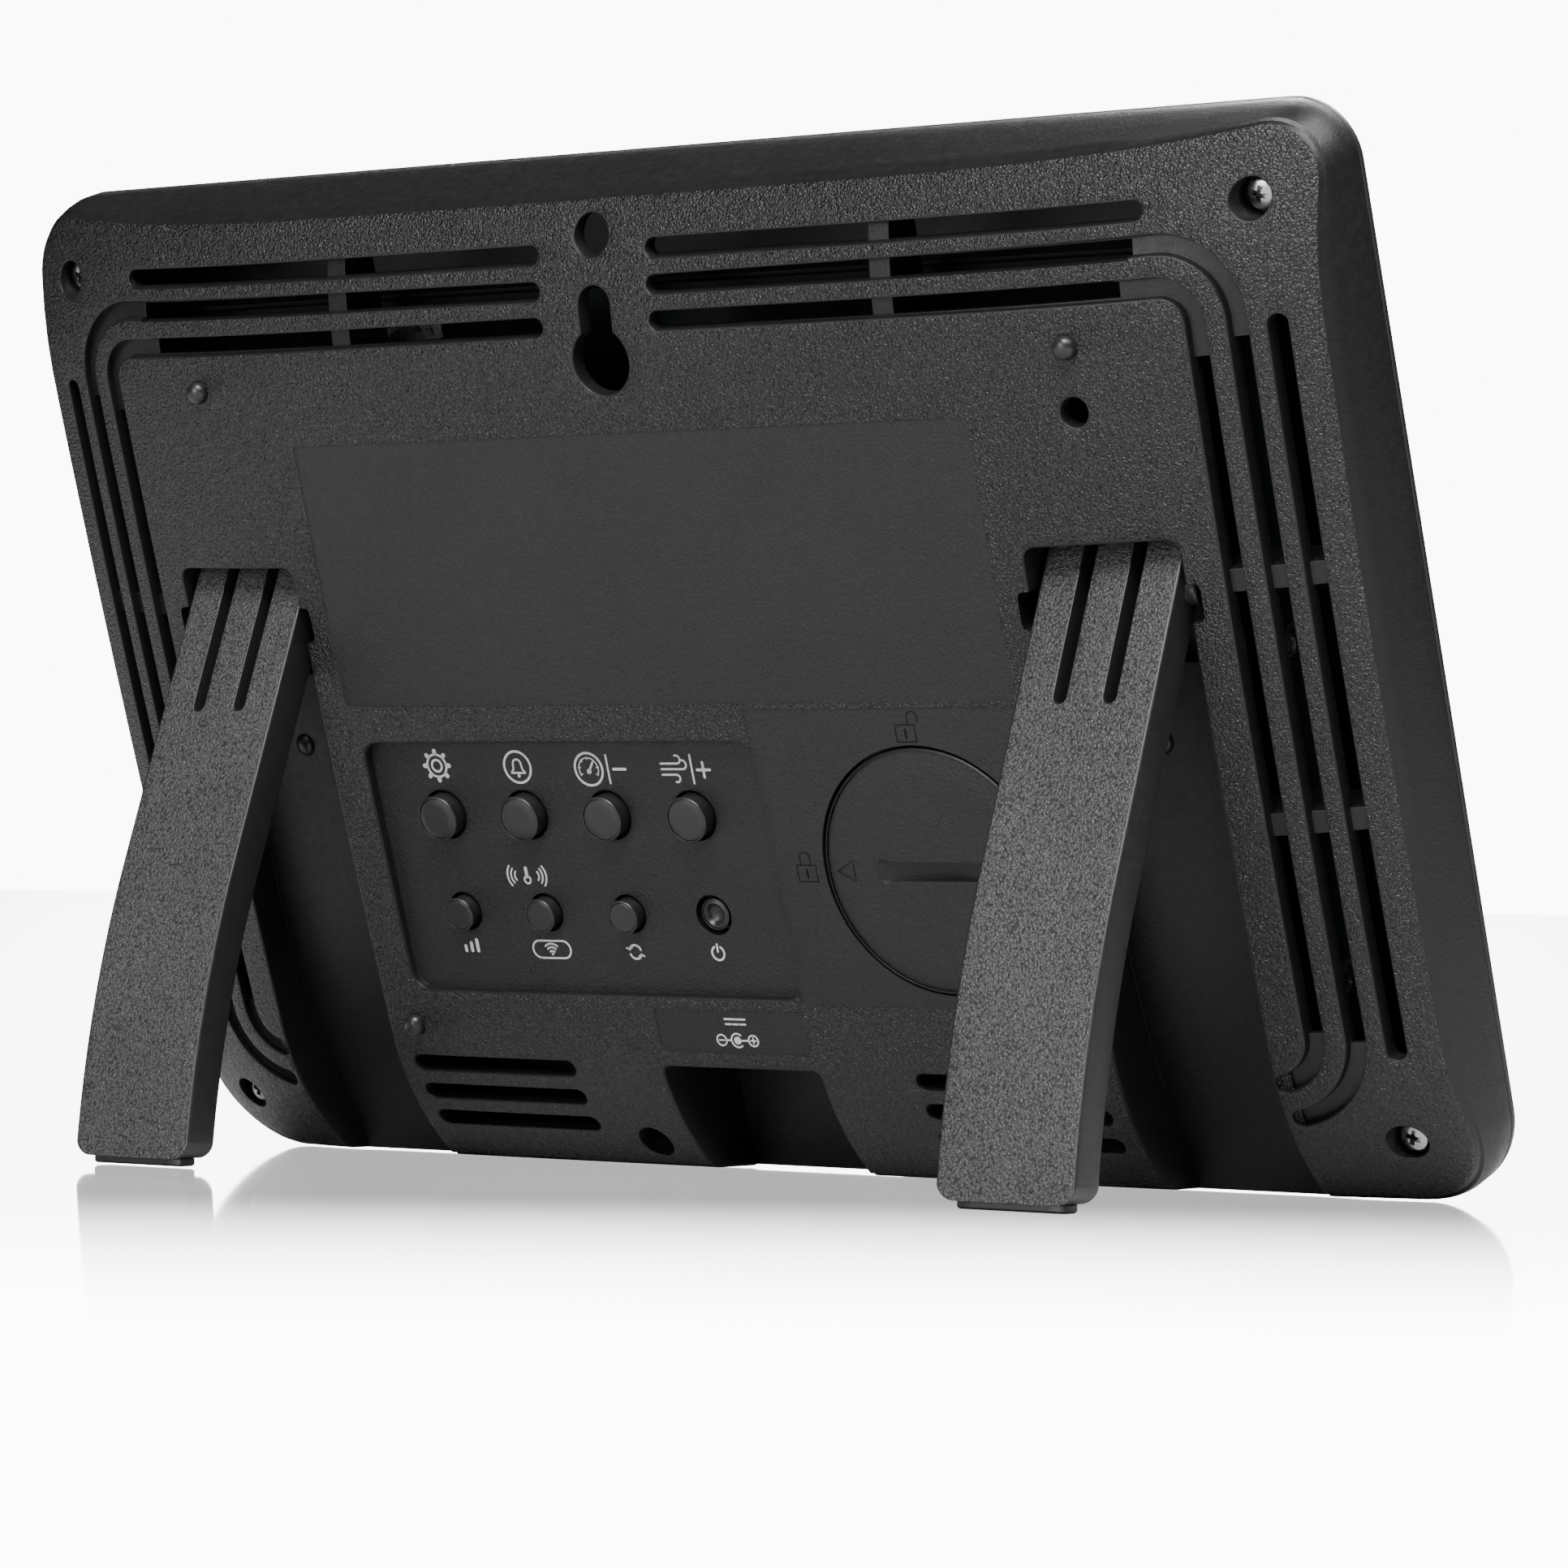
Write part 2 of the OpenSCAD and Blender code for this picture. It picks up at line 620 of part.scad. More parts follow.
module rear_cover() {
    color([0.1, 0.1, 0.105]) difference() {
        intersection() {
            rear_cover_solids();
            draft_prism(0);
            crown_body(0);
        }
        both_sides() {
            channel_cut();
            grooves();
        }
        for (s = screw_sites) at(s[0], s[1]) {
            along_y(head_bore_r, seat_y, far);
            along_y(1.5, 0, far);
        }
        block(-bay_x, bay_x, bay_y, far, -3, bay_top);
        translate([0, jack_y, 0]) along_z(jack_nose_r, bay_top - 1, bay_top + wall + 1);
        battery_opening();
        plate(panel_x[0], panel_x[1], panel_z[0], panel_z[1], panel_r, panel_y, far);
        key_holes();
        for (s = wall_bumper_sites) bumper_seat(s, back_y(s[0], s[1]));
        for (x = [-leg_x, leg_x]) bumper_seat([x, leg_bumper_z], channel_floor_y);
        at(0, hang_z) along_y(hang_r, 4, far);
        at(0, keyhole_z) along_y(keyhole_r, 4, far);
        at(0, neck_z) along_y(neck_r, 4, far);
        block(-neck_r, neck_r, 4, far, keyhole_z, neck_z);
        at(probe_x, probe_z) along_y(probe_r, 4, far);
    }
}
module case_screws() {
    color([0.82, 0.82, 0.84]) for (s = screw_sites) at(s[0], s[1]) {
        along_y(screw_r, 0, seat_y + eps);
        difference() {
            along_y(screw_head_r, seat_y, seat_y + screw_head_t);
            for (a = [0, 90]) rotate([0, a, 0])
                block(-1.4, 1.4, seat_y + 0.8, far, -0.3, 0.3);
        }
    }
}
// Domed stud seated at depth y, standing rise above it
module stud(s, y, rise) {
    at(s[0], s[1]) intersection() {
        along_y(bumper_r, y - bumper_seat, far);
        translate([0, y + rise - 2.4, 0]) union() {
            sphere(r = 2.4);
            along_y(bumper_r, -10, 0);
        }
    }
}
module wall_bumpers() {
    color([0.06, 0.06, 0.06]) for (s = wall_bumper_sites) stud(s, back_y(s[0], s[1]), bumper_rise);
}
module leg_bumpers() {
    color([0.06, 0.06, 0.06]) for (x = [-leg_x, leg_x])
        stud([x, leg_bumper_z], channel_floor_y, leg_bumper_rise);
}

// ---------- legs ----------
module leg_profile() {
    inner_y = leg_face_y - leg_t;
    translate([inner_y, bow_z]) square([leg_t, pivot_z - bow_z]);
    intersection() {
        translate([inner_y, bow_z]) square([leg_t, far]);
        translate([pivot_y, pivot_z]) circle(r = leg_end_r);
    }
    translate([pivot_y, pivot_z]) circle(r = hinge_r);
    intersection() {
        translate([0, -4]) square([far, bow_z + 4 + eps]);
        difference() {
            translate([leg_face_y - bow_r, bow_z]) circle(r = bow_r, $fn = 240);
            translate([leg_face_y - bow_r, bow_z]) circle(r = bow_r - leg_t, $fn = 240);
        }
    }
}
module leg() {
    difference() {
        translate([leg_x, 0, 0]) swing_leg() {
            difference() {
                yz_profile(-leg_w / 2, leg_w / 2) leg_profile();
                for (x = [-leg_slot_x, leg_slot_x])
                    block(x - leg_slot_w / 2, x + leg_slot_w / 2, 0, far, pivot_z - leg_slot_len, 100);
            }
            for (x = [-leg_w / 2 - trunnion_len, leg_w / 2 - eps]) translate([0, pivot_y, pivot_z])
                along_x(trunnion_r, x, x + trunnion_len + eps);
        }
        upright() block(-case_w, case_w, -case_h, case_h, -case_h, pad_t);
    }
}
module leg_pad() {
    upright() block(leg_x - pad_w / 2, leg_x + pad_w / 2, toe_inner + 0.8, toe_outer - 1.2, 0, pad_t);
}
module left_leg() {
    color([0.1, 0.1, 0.105]) leg();
}
module right_leg() {
    color([0.1, 0.1, 0.105]) mirror([1, 0, 0]) leg();
}
module left_leg_pad() {
    color([0.03, 0.03, 0.03]) leg_pad();
}
module right_leg_pad() {
    color([0.03, 0.03, 0.03]) mirror([1, 0, 0]) leg_pad();
}

// ---------- battery door ----------
coin_r = 25.3;
coin_sink = 1.3;
coin_slot_w = 2.5;
module battery_door() {
    color([0.1, 0.1, 0.105]) at(cell_x, cell_z) {
        difference() {
            along_y(door_d / 2, door_y - door_t, door_y);
            translate([0, door_y - coin_sink + coin_r, 0])
                along_z(coin_r, -coin_slot_w / 2, coin_slot_w / 2);
        }
        difference() {
            along_y(skirt_r, skirt_y, door_y - door_t + eps);
            along_y(skirt_r - 1.6, 0, door_y - door_t);
        }
        for (a = [0, 180]) rotate([0, a, 0]) intersection() {
            block(skirt_r - 1, far, skirt_y, skirt_y + 1, -lug_w / 2, lug_w / 2);
            along_y(lug_r, 0, far);
        }
    }
}

// ---------- keys ----------
module key_cap(i, z, d, top_y) {
    at(key_x0 - i * key_pitch, z) {
        along_y(1.5, cap_back_y, flange_y[0] + eps);
        along_y(d / 2 + 0.9, flange_y[0], flange_y[1]);
        along_y(d / 2, flange_y[1] - eps, top_y - 0.3);
        along_y(d / 2 - 0.3, top_y - 0.3 - eps, top_y);
    }
}
cap_rise = 2;
small_cap_rise = 1.7;
module large_key(i) {
    color([0.08, 0.08, 0.085]) key_cap(i, large_key_z, key_d, panel_y + cap_rise);
}
module small_key(i) {
    color([0.08, 0.08, 0.085]) key_cap(i, small_key_z, small_key_d, panel_y + small_cap_rise);
}
module key_settings() { large_key(0); }
module key_alarm() { large_key(1); }
module key_minus() { large_key(2); }
module key_plus() { large_key(3); }
module key_channel() { small_key(0); }
module key_wireless() { small_key(1); }
module key_refresh() { small_key(2); }
// The reset key is sunk in its hole, with a cupped end
module key_reset() {
    color([0.08, 0.08, 0.085]) at(key_x0 - 3 * key_pitch, small_key_z) difference() {
        union() {
            along_y(1.5, cap_back_y, flange_y[0] + eps);
            along_y(3.8, flange_y[0], flange_y[1]);
            along_y(2.1, flange_y[1] - eps, panel_y - 0.5);
        }
        along_y(1.4, panel_y - 1.4, far);
    }
}

stand() front_bezel();
stand() display_window();
stand() lcd_panel();
stand() lcd_connectors();
stand() light_guide();
stand() backlight_leds();
stand() lcd_carrier();
stand() main_board();
stand() board_screws();
stand() board_chips();
stand() radio_module();
stand() climate_sensor();
stand() piezo_buzzer();
stand() ribbon_cable();
stand() button_board();
stand() tact_switches();
stand() button_board_screws();
stand() dc_jack();
stand() battery_contacts();
stand() coin_cell();
stand() rear_cover();
stand() case_screws();
stand() wall_bumpers();
stand() leg_bumpers();
stand() left_leg();
stand() left_leg_pad();
stand() right_leg();
stand() right_leg_pad();
stand() battery_door();
stand() key_settings();
stand() key_alarm();
stand() key_minus();
stand() key_plus();
stand() key_channel();
stand() key_wireless();
stand() key_refresh();
stand() key_reset();
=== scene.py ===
"""Looks of the tabletop display console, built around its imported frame.

Shapes are made in the case's own upright frame, in millimetres: x across, y backwards from the
parting plane, z up. One matrix, CASE, then stands them on the table in metres.
"""
import json
import math

import bmesh
import bpy
from mathutils import Matrix, Vector


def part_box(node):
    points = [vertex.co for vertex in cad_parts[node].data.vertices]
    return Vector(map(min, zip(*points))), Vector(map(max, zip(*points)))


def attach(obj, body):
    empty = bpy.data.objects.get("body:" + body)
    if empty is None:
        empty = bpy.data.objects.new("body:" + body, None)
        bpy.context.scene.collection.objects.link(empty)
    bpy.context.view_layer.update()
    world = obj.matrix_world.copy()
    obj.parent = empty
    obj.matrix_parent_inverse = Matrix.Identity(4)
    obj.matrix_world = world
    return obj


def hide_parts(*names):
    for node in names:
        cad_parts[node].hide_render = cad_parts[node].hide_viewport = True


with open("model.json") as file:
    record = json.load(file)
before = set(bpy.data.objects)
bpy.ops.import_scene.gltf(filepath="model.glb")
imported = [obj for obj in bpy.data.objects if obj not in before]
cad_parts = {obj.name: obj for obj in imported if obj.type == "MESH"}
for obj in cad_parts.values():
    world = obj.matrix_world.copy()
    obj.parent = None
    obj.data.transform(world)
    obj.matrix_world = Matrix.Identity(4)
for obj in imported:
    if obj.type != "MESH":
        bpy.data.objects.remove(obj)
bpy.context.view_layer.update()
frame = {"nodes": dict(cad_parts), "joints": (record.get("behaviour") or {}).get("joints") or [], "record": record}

# ---------- dimensions, in millimetres ----------
MM = 0.001
LEAN = math.radians(19.5)
SWING = math.radians(39.5)
CASE_W, CASE_H, CASE_D = 202.0, 137.3, 20.3
CORNER_R, LOW_CORNER_R = 8.0, 11.0
WALL = 2.2
PART_Y = 1.2           # rear cover's front edge
FOOT_Y = 3.6           # behind this the walls are drafted
SKIN_Y = 21.3
SIDE_IN, TOP_IN = 3.417, 4.563   # how far the drafted walls come in over the whole depth
BOTTOM_IN = (SKIN_Y - FOOT_Y) * math.tan(LEAN)
BEZEL_D = 5.0
PIVOT = Vector((0, 15.4, 81.7))
LEG_X, LEG_W, LEG_T = 67.8, 19.4, 5.2
LEG_FACE_Y, BOW_Z, BOW_R = 18.9, 45.0, 153.7
CHANNEL_W, CHANNEL_TOP = 20.8, 88.7
SLOT_W = 2.3
CELL_X, CELL_Z = -36.4, 47.6
DOOR_R, DOOR_Y, DOOR_T = 16.2, 20.1, 1.5
PANEL_Y = 18.5
KEY_X0, KEY_PITCH, LARGE_Z, SMALL_Z = 40.7, 13.55, 54.3, 40.8

leg_pivot = next(j["pos_m"] for j in frame["joints"] if j["name"] == "left_leg_fold")
TURN = Matrix.Rotation(-LEAN, 4, "X") @ Matrix.Scale(MM, 4)
CASE = Matrix.Translation(Vector((0, leg_pivot[1], leg_pivot[2])) - TURN @ PIVOT) @ TURN


def back_y(x, z):
    """Depth of the crowned back surface."""
    top = max(0.0, z - 114.0) / 20
    low = max(0.0, 23.5 - z) / 19.5
    mid = (z - CASE_H / 2) / (CASE_H / 2)
    return CASE_D - 8.5 * (abs(x) / 101) ** 5 - 1.5 * mid * mid - 3.9 * top * top - 5.8 * low * low


# ---------- plain mesh tools ----------
def make_object(name, verts, faces, slots=(), matrix=CASE):
    """A mesh object from points in case millimetres; slots gives each face's material number."""
    mesh = bpy.data.meshes.new(name)
    mesh.from_pydata([tuple(v) for v in verts], [], faces)
    if slots:
        mesh.polygons.foreach_set("material_index", slots)
    work = bmesh.new()
    work.from_mesh(mesh)
    bmesh.ops.recalc_face_normals(work, faces=work.faces)
    work.to_mesh(mesh)
    work.free()
    if matrix is not None:
        mesh.transform(matrix)
    return in_scene(name, mesh)


def in_scene(name, data):
    """A new object of the scene, made from a mesh, a light or a camera."""
    obj = bpy.data.objects.new(name, data)
    bpy.context.scene.collection.objects.link(obj)
    return obj


class Builder:
    """Collects points and faces of one closed shape."""

    def __init__(self):
        self.verts, self.faces, self.slots = [], [], []

    def ring(self, points):
        start = len(self.verts)
        self.verts += [Vector(p) for p in points]
        return list(range(start, start + len(points)))

    def face(self, corners, slot=0):
        self.faces.append(corners)
        self.slots.append(slot)

    def bridge(self, a, b, slot=0):
        """Joins two rings. slot is one material number, or one for each face."""
        count = len(a)
        for i in range(count):
            j = (i + 1) % count
            self.face([a[i], a[j], b[j], b[i]], slot[i] if isinstance(slot, list) else slot)

    def cap(self, ring, slot=0):
        self.face(list(ring), slot)

    def stack(self, levels, slot=0):
        """A solid through rings of points, closed at both ends."""
        rings = [self.ring(level) for level in levels]
        for a, b in zip(rings, rings[1:]):
            self.bridge(a, b, slot)
        self.cap(rings[0])
        self.cap(rings[-1])

    def obj(self, name, matrix=None):
        return make_object(name, self.verts, self.faces, self.slots, matrix)


def at_depth(points, y):
    return [(x, y, z) for x, z in points]


def arc(cx, cz, r, a0, a1, steps):
    """Points of an arc, angles in degrees."""
    turns = [math.radians(a0 + (a1 - a0) * i / steps) for i in range(steps + 1)]
    return [(cx + r * math.cos(t), cz + r * math.sin(t)) for t in turns]


def dense(points, step=2.0):
    """The same open outline with no gap between points longer than step."""
    out = [points[0]]
    for a, b in zip(points, points[1:]):
        count = max(1, math.ceil(math.dist(a, b) / step))
        out += [(a[0] + (b[0] - a[0]) * i / count, a[1] + (b[1] - a[1]) * i / count)
                for i in range(1, count + 1)]
    return out


def tidy(points):
    """Drops points that lie on the one before."""
    out = [points[0]]
    for p in points[1:]:
        if math.dist(p, out[-1]) > 1e-4:
            out.append(p)
    return out


def mirrored(points):
    return [(-x, z) for x, z in points]


# A flat shape is a pair of open outlines, left and right, with the same number of points.
SEAM = 0.02     # half the gap between a shape's two outlines, where they meet


def rounded_rect(x0, x1, z0, z1, r, step=2.0):
    mid = (x0 + x1) / 2
    half = (x1 - x0) / 2
    steps = max(2, round(r * 2.5))
    low, high = arc(r - half, z0 + r, r, 270, 180, steps), arc(r - half, z1 - r, r, 180, 90, steps)
    side = tidy(dense([(-SEAM, z0)] + low + high + [(-SEAM, z1)], step))
    return [(mid + x, z) for x, z in side], [(mid - x, z) for x, z in side]


def disc(cx, cz, r, steps=24):
    side = arc(0, 0, r, 269.5, 90.5, steps)
    return [(cx + x, cz + z) for x, z in side], [(cx - x, cz + z) for x, z in side]


def ribbon(path, half, round_start=True, round_end=True):
    """Outline of a slot that follows a path."""
    path = tidy(dense(path, 2.0))
    left, right = [], []
    count = len(path)
    for i, (x, z) in enumerate(path):
        a, b = path[max(0, i - 1)], path[min(count - 1, i + 1)]
        tx, tz = b[0] - a[0], b[1] - a[1]
        size = math.hypot(tx, tz)
        nx, nz = -tz / size, tx / size
        left.append((x + nx * half, z + nz * half))
        right.append((x - nx * half, z - nz * half))
    for at_end in (False, True):
        (x, z), (ox, oz) = (path[-1], path[-2]) if at_end else (path[0], path[1])
        ux, uz = (x - ox) / math.dist((x, z), (ox, oz)), (z - oz) / math.dist((x, z), (ox, oz))
        if not (round_end if at_end else round_start):
            continue
        tips = []
        for k in range(1, 7):
            t = math.radians(90 * k / 6.15)
            along, out = half * math.sin(t), half * math.cos(t)
            nx, nz = (-uz, ux) if at_end else (uz, -ux)
            tips.append(((x + ux * along + nx * out, z + uz * along + nz * out),
                         (x + ux * along - nx * out, z + uz * along - nz * out)))
        if at_end:
            left += [t[0] for t in tips]
            right += [t[1] for t in tips]
        else:
            left = [t[0] for t in reversed(tips)] + left
            right = [t[1] for t in reversed(tips)] + right
    return left, right


def grown(loop, d):
    """A closed outline pushed outwards by d."""
    area = sum(a[0] * b[1] - b[0] * a[1] for a, b in zip(loop, loop[1:] + loop[:1]))
    sign = 1 if area > 0 else -1
    out = []
    count = len(loop)
    for i, (x, z) in enumerate(loop):
        p, q = loop[i - 1], loop[(i + 1) % count]
        l1, l2 = math.dist((x, z), p), math.dist(q, (x, z))
        n1 = ((z - p[1]) / l1 * sign, -(x - p[0]) / l1 * sign)
        n2 = ((q[1] - z) / l2 * sign, -(q[0] - x) / l2 * sign)
        mx, mz = n1[0] + n2[0], n1[1] + n2[1]
        scale = 2 / max(0.6, mx * mx + mz * mz)
        out.append((x + mx * d * scale, z + mz * d * scale))
    return out


def well(build, shape, floor, flare=0.25, surface=back_y, spans=1, slots=(0, 0), head=3.0):
    """A cutter: a shape sunk from surface to floor, with its mouth eased by flare.

    floor is a number of y, or a function of x and z. slots numbers the wall's and floor's material.
    """
    left, right = shape
    loop = left + right[::-1]
    floor_at = floor if callable(floor) else (lambda x, z: floor)
    mouth = ((1.6, head), (1.6, 0.25 * flare), (0.3, -0.3 * flare), (0, -flare)) if flare else ((0, head),)
    levels = [[(x, surface(x, z) + rise, z) for x, z in grown(loop, wider * flare)] for wider, rise in mouth]
    levels.append([(x, floor_at(x, z), z) for x, z in loop])
    rings = [build.ring(level) for level in levels]
    for a, b in zip(rings, rings[1:]):
        build.bridge(a, b, slots[0])
    for ring, at, slot, parts in ((rings[0], None, slots[0], 1), (rings[-1], floor_at, slots[1], spans)):
        count = len(left)
        rows = []
        for i in range(count):
            a, b = ring[i], ring[2 * count - 1 - i]
            row = [a]
            for k in range(1, parts if 0 < i < count - 1 else 1):
                mix = build.verts[a].lerp(build.verts[b], k / parts)
                row += build.ring([(mix.x, at(mix.x, mix.z), mix.z)])
            rows.append(row + [b])
        for low, high in zip(rows, rows[1:]):
            if len(low) != len(high):
                build.face(low + high[::-1], slot)
                continue
            for k in range(len(low) - 1):
                build.face([low[k], low[k + 1], high[k + 1], high[k]], slot)


def below_skin(depth):
    return lambda x, z: back_y(x, z) - depth


def slab(build, x0, x1, y0, y1, z0, z1):
    build.stack([[(x0, y, z0), (x1, y, z0), (x1, y, z1), (x0, y, z1)] for y in (y0, y1)])
    return build


def lathe(build, profile, place=(0, 0), steps=64, slots=None):
    """Turns (r, y) points about an axis along y. The first and last points are on the axis or capped."""
    rings = []
    for r, y in profile:
        turns = [2 * math.pi * i / steps for i in range(steps)]
        rings.append(build.ring([(place[0] + r * math.cos(t), y, place[1] + r * math.sin(t)) for t in turns]))
    for i, (a, b) in enumerate(zip(rings, rings[1:])):
        build.bridge(a, b, slots[i] if slots else 0)
    build.cap(rings[0], slots[0] if slots else 0)
    build.cap(rings[-1], slots[-1] if slots else 0)
    return build


def eased(r, y, e, steps=4, inwards=1):
    """A rounded corner of a lathe profile, from its wall at r to its flat end at y."""
    turns = [math.radians(90 * i / steps) for i in range(steps + 1)]
    return [(r - e * (1 - math.cos(t)), y - inwards * e * (1 - math.sin(t))) for t in turns]


def combine(base, other, operation):
    """Cuts other from base, or joins it on, and removes it."""
    step = base.modifiers.new("combine", "BOOLEAN")
    step.object, step.operation, step.solver = other, operation, "MANIFOLD"
    bpy.context.view_layer.update()
    graph = bpy.context.evaluated_depsgraph_get()
    mesh = bpy.data.meshes.new_from_object(base.evaluated_get(graph), depsgraph=graph)
    if not mesh.polygons:
        raise RuntimeError(f"{operation} of {other.name} left nothing of {base.name}")
    base.modifiers.clear()
    old = base.data
    base.data = mesh
    bpy.data.meshes.remove(old)
    bpy.data.objects.remove(other)
    return base


def cut(base, build):
    return combine(base, build.obj("cuts"), "DIFFERENCE")


def join(base, build):
    return combine(base, build.obj("part"), "UNION")


def to_case(obj):
    obj.data.transform(CASE)
    return obj


# ---------- rear cover ----------
SATIN, GRAIN, FINE = 0, 1, 2     # material numbers of the shell: smooth walls, leather grain, labels
OUTLINE_STEPS = 14               # points on each rounded corner of the outline


def frame_outline(half, z0, z1, r, low_r=None):
    """A rounded rectangle, always with the same number of points. Starts low on the +X side."""
    points, low_r = [], low_r or r
    for cx, cz, a, turn in ((half - low_r, z0 + low_r, -90, low_r), (half - r, z1 - r, 0, r),
                            (r - half, z1 - r, 90, r), (low_r - half, z0 + low_r, 180, low_r)):
        points += arc(cx, cz, turn, a, a + 90, OUTLINE_STEPS)
    out = []
    for a, b in zip(points, points[1:] + points[:1]):
        count = 40 if abs(a[0] - b[0]) > 80 else 28 if abs(a[1] - b[1]) > 60 else 1
        out += [(a[0] + (b[0] - a[0]) * i / count, a[1] + (b[1] - a[1]) * i / count) for i in range(count)]
    return out


def case_outline(y, inset=0.0):
    """The case's outline at depth y, as the drafted walls leave it."""
    rise = max(0.0, y - FOOT_Y) / (SKIN_Y - FOOT_Y)
    return frame_outline(CASE_W / 2 - SIDE_IN * rise - inset, BOTTOM_IN * rise + inset,
                         CASE_H - TOP_IN * rise - inset, max(0.5, CORNER_R - rise - inset),
                         LOW_CORNER_R - rise - inset)


# The rim from the side wall up to the crown, as (distance inwards, depth): one rounded edge
SHELL_RIM = ((0, 1.15), (0.05, 0.78), (0.16, 0.46), (0.32, 0.2), (0.52, 0.05), (0.8, 0.0))
PLAIN_RIM = ((0, 0.2), (0.2, 0.0))


def case_block(name, y0, inset, sink, rim=PLAIN_RIM):
    """Closed solid between y0 and the crown, whose walls are inset and whose crown is sunk."""
    def crown(x, z):
        return back_y(x, z) - sink

    build = Builder()
    count = len(case_outline(y0))
    edge = []
    for i in range(count):
        y = 12.0
        for _ in range(30):
            y = crown(*case_outline_point(i, y, inset))
        edge.append(y)
    rings = []
    for share in (0, 0.12, 0.3, 0.6, 0.85, 1):
        ys = [y0 + (top - rim[0][1] - y0) * share for top in edge]
        corner = [case_outline_point(i, y, inset) for i, y in enumerate(ys)]
        rings.append(build.ring([(x, y, z) for (x, z), y in zip(corner, ys)]))
    corner = [case_outline_point(i, edge[i], inset) for i in range(count)]
    for reach, drop in rim[1:]:
        inner = []
        for i in range(count):
            before, after = corner[i - 1], corner[(i + 1) % count]
            tx, tz = after[0] - before[0], after[1] - before[1]
            size = math.hypot(tx, tz)
            x, z = corner[i][0] - tz / size * reach, corner[i][1] + tx / size * reach
            inner.append((x, crown(x, z) - drop, z))
        rings.append(build.ring(inner))
    wall_rings = len(rings) - 3
    middle = CASE_H / 2
    for k in range(1, 49):
        s = 1 - k / 49.5
        loop = [(x * s, middle + (z - middle) * s) for x, _, z in inner]
        rings.append(build.ring([(x, crown(x, z), z) for x, z in loop]))
    for i, (a, b) in enumerate(zip(rings, rings[1:])):
        build.bridge(a, b, SATIN if i < wall_rings else GRAIN)
    build.cap(rings[0], SATIN)
    build.cap(rings[-1], GRAIN)
    return build.obj(name)


_outlines = {}


def case_outline_point(i, y, inset):
    """One point of case_outline, between stored outlines of the drafted walls' two ends."""
    if inset not in _outlines:
        _outlines[inset] = case_outline(FOOT_Y, inset), case_outline(SKIN_Y, inset)
    low, high = _outlines[inset]
    t = max(0.0, y - FOOT_Y) / (SKIN_Y - FOOT_Y)
    return low[i][0] + (high[i][0] - low[i][0]) * t, low[i][1] + (high[i][1] - low[i][1]) * t


# Vents: three across the top and three down each side, the inner two joined by blind grooves
SLOT_R = SLOT_W / 2
TOP_SLOT_Z = (127.9, 123.5, 119.1)
TOP_SLOT_IN, TOP_SLOT_OUT = 8.4, (79.0, 77.0, 75.0)
SIDE_SLOT_X = (94.0, 89.4, 84.4)
SIDE_SLOT_HIGH, SIDE_SLOT_LOW = (114.4, 112.1, 110.2), (22.1, 24.3, 25.8)
LOW_SLOT_X, LOW_SLOT_Z = (27.2, 54.6), (19.1, 14.7, 10.3)
UPPER_BEND, LOWER_BEND = (79.9, 114.4), (78.5, 25.5)
GROOVE_DEPTH = 1.25
RIB_X, RIB_Z = 42.4, (83, 52.5)
SCREWS = ((92, 127.8), (-92, 127.8), (92, 10.5), (-92, 10.5), (19.3, 7.6))
SEAT_Y = 8.0          # where the screws' heads sit
WALL_BUMPERS = ((67.7, 112.9), (-67.7, 112.9), (52.6, 24.8), (-52.6, 24.8))
LEG_BUMPER_Z = 62.0
BUMPER_R = 1.5
FLARE, WIDE_FLARE = 0.25, 0.35   # how far the mouths of cuts are eased
BAY_X, BAY_TOP, BAY_Y = 12.5, 20.0, 3.5
SMALL_KEY_HOLES = (2.65, 2.65, 2.65, 2.75)
HAIR = 0.02           # how far a second cutter stays inside the first
BELOW_Z, OUTSIDE_Y = -4, 22      # a height below the case and a depth behind it


def groove_path(i):
    """Centre line of a vent that turns both corners, from its top end inwards to its lower end."""
    x, z = SIDE_SLOT_X[i], TOP_SLOT_Z[i]
    upper = arc(*UPPER_BEND, x - UPPER_BEND[0], 90, 0, 12)
    lower = arc(*LOWER_BEND, x - LOWER_BEND[0], 0, -80, 12)
    return [(TOP_SLOT_IN + SLOT_R, z)] + upper + lower


def mirrored_wells(cuts, shapes, depth, flare):
    """Sinks each shape, and its mirror image, to a depth below the skin."""
    for left, right in shapes:
        for shape in ((left, right), (mirrored(right), mirrored(left))):
            well(cuts, shape, below_skin(depth), flare)


def across(x0, x1, z):
    return ribbon([(x0 + SLOT_R, z), (x1 - SLOT_R, z)], SLOT_R)


def upright(x, z0, z1):
    return ribbon([(x, z0 + SLOT_R), (x, z1 - SLOT_R)], SLOT_R)


def channel_floor(x, z):
    reach = BOW_R - LEG_T - 1.4
    if z >= BOW_Z:
        return LEG_FACE_Y - LEG_T - 1.4
    return LEG_FACE_Y - BOW_R + math.sqrt(reach * reach - (BOW_Z - z) ** 2)


def channel_sides(side, more=0.0):
    """The two x of a leg's channel, each further out by more."""
    return side * LEG_X - CHANNEL_W / 2 - more, side * LEG_X + CHANNEL_W / 2 + more


def keyhole_shape(big, small, z_big, z_small):
    """A round hole with a narrower slot above it."""
    meet = math.degrees(math.asin(small / big))
    side = arc(0, z_big, big, 269.5, 90 + meet, 20)
    side = side + [(-small, z_small)] if side[-1][1] < z_small else side
    side = tidy(dense(side + arc(0, z_small, small, 180, 90.5, 12), 1.5))
    return side, mirrored(side)


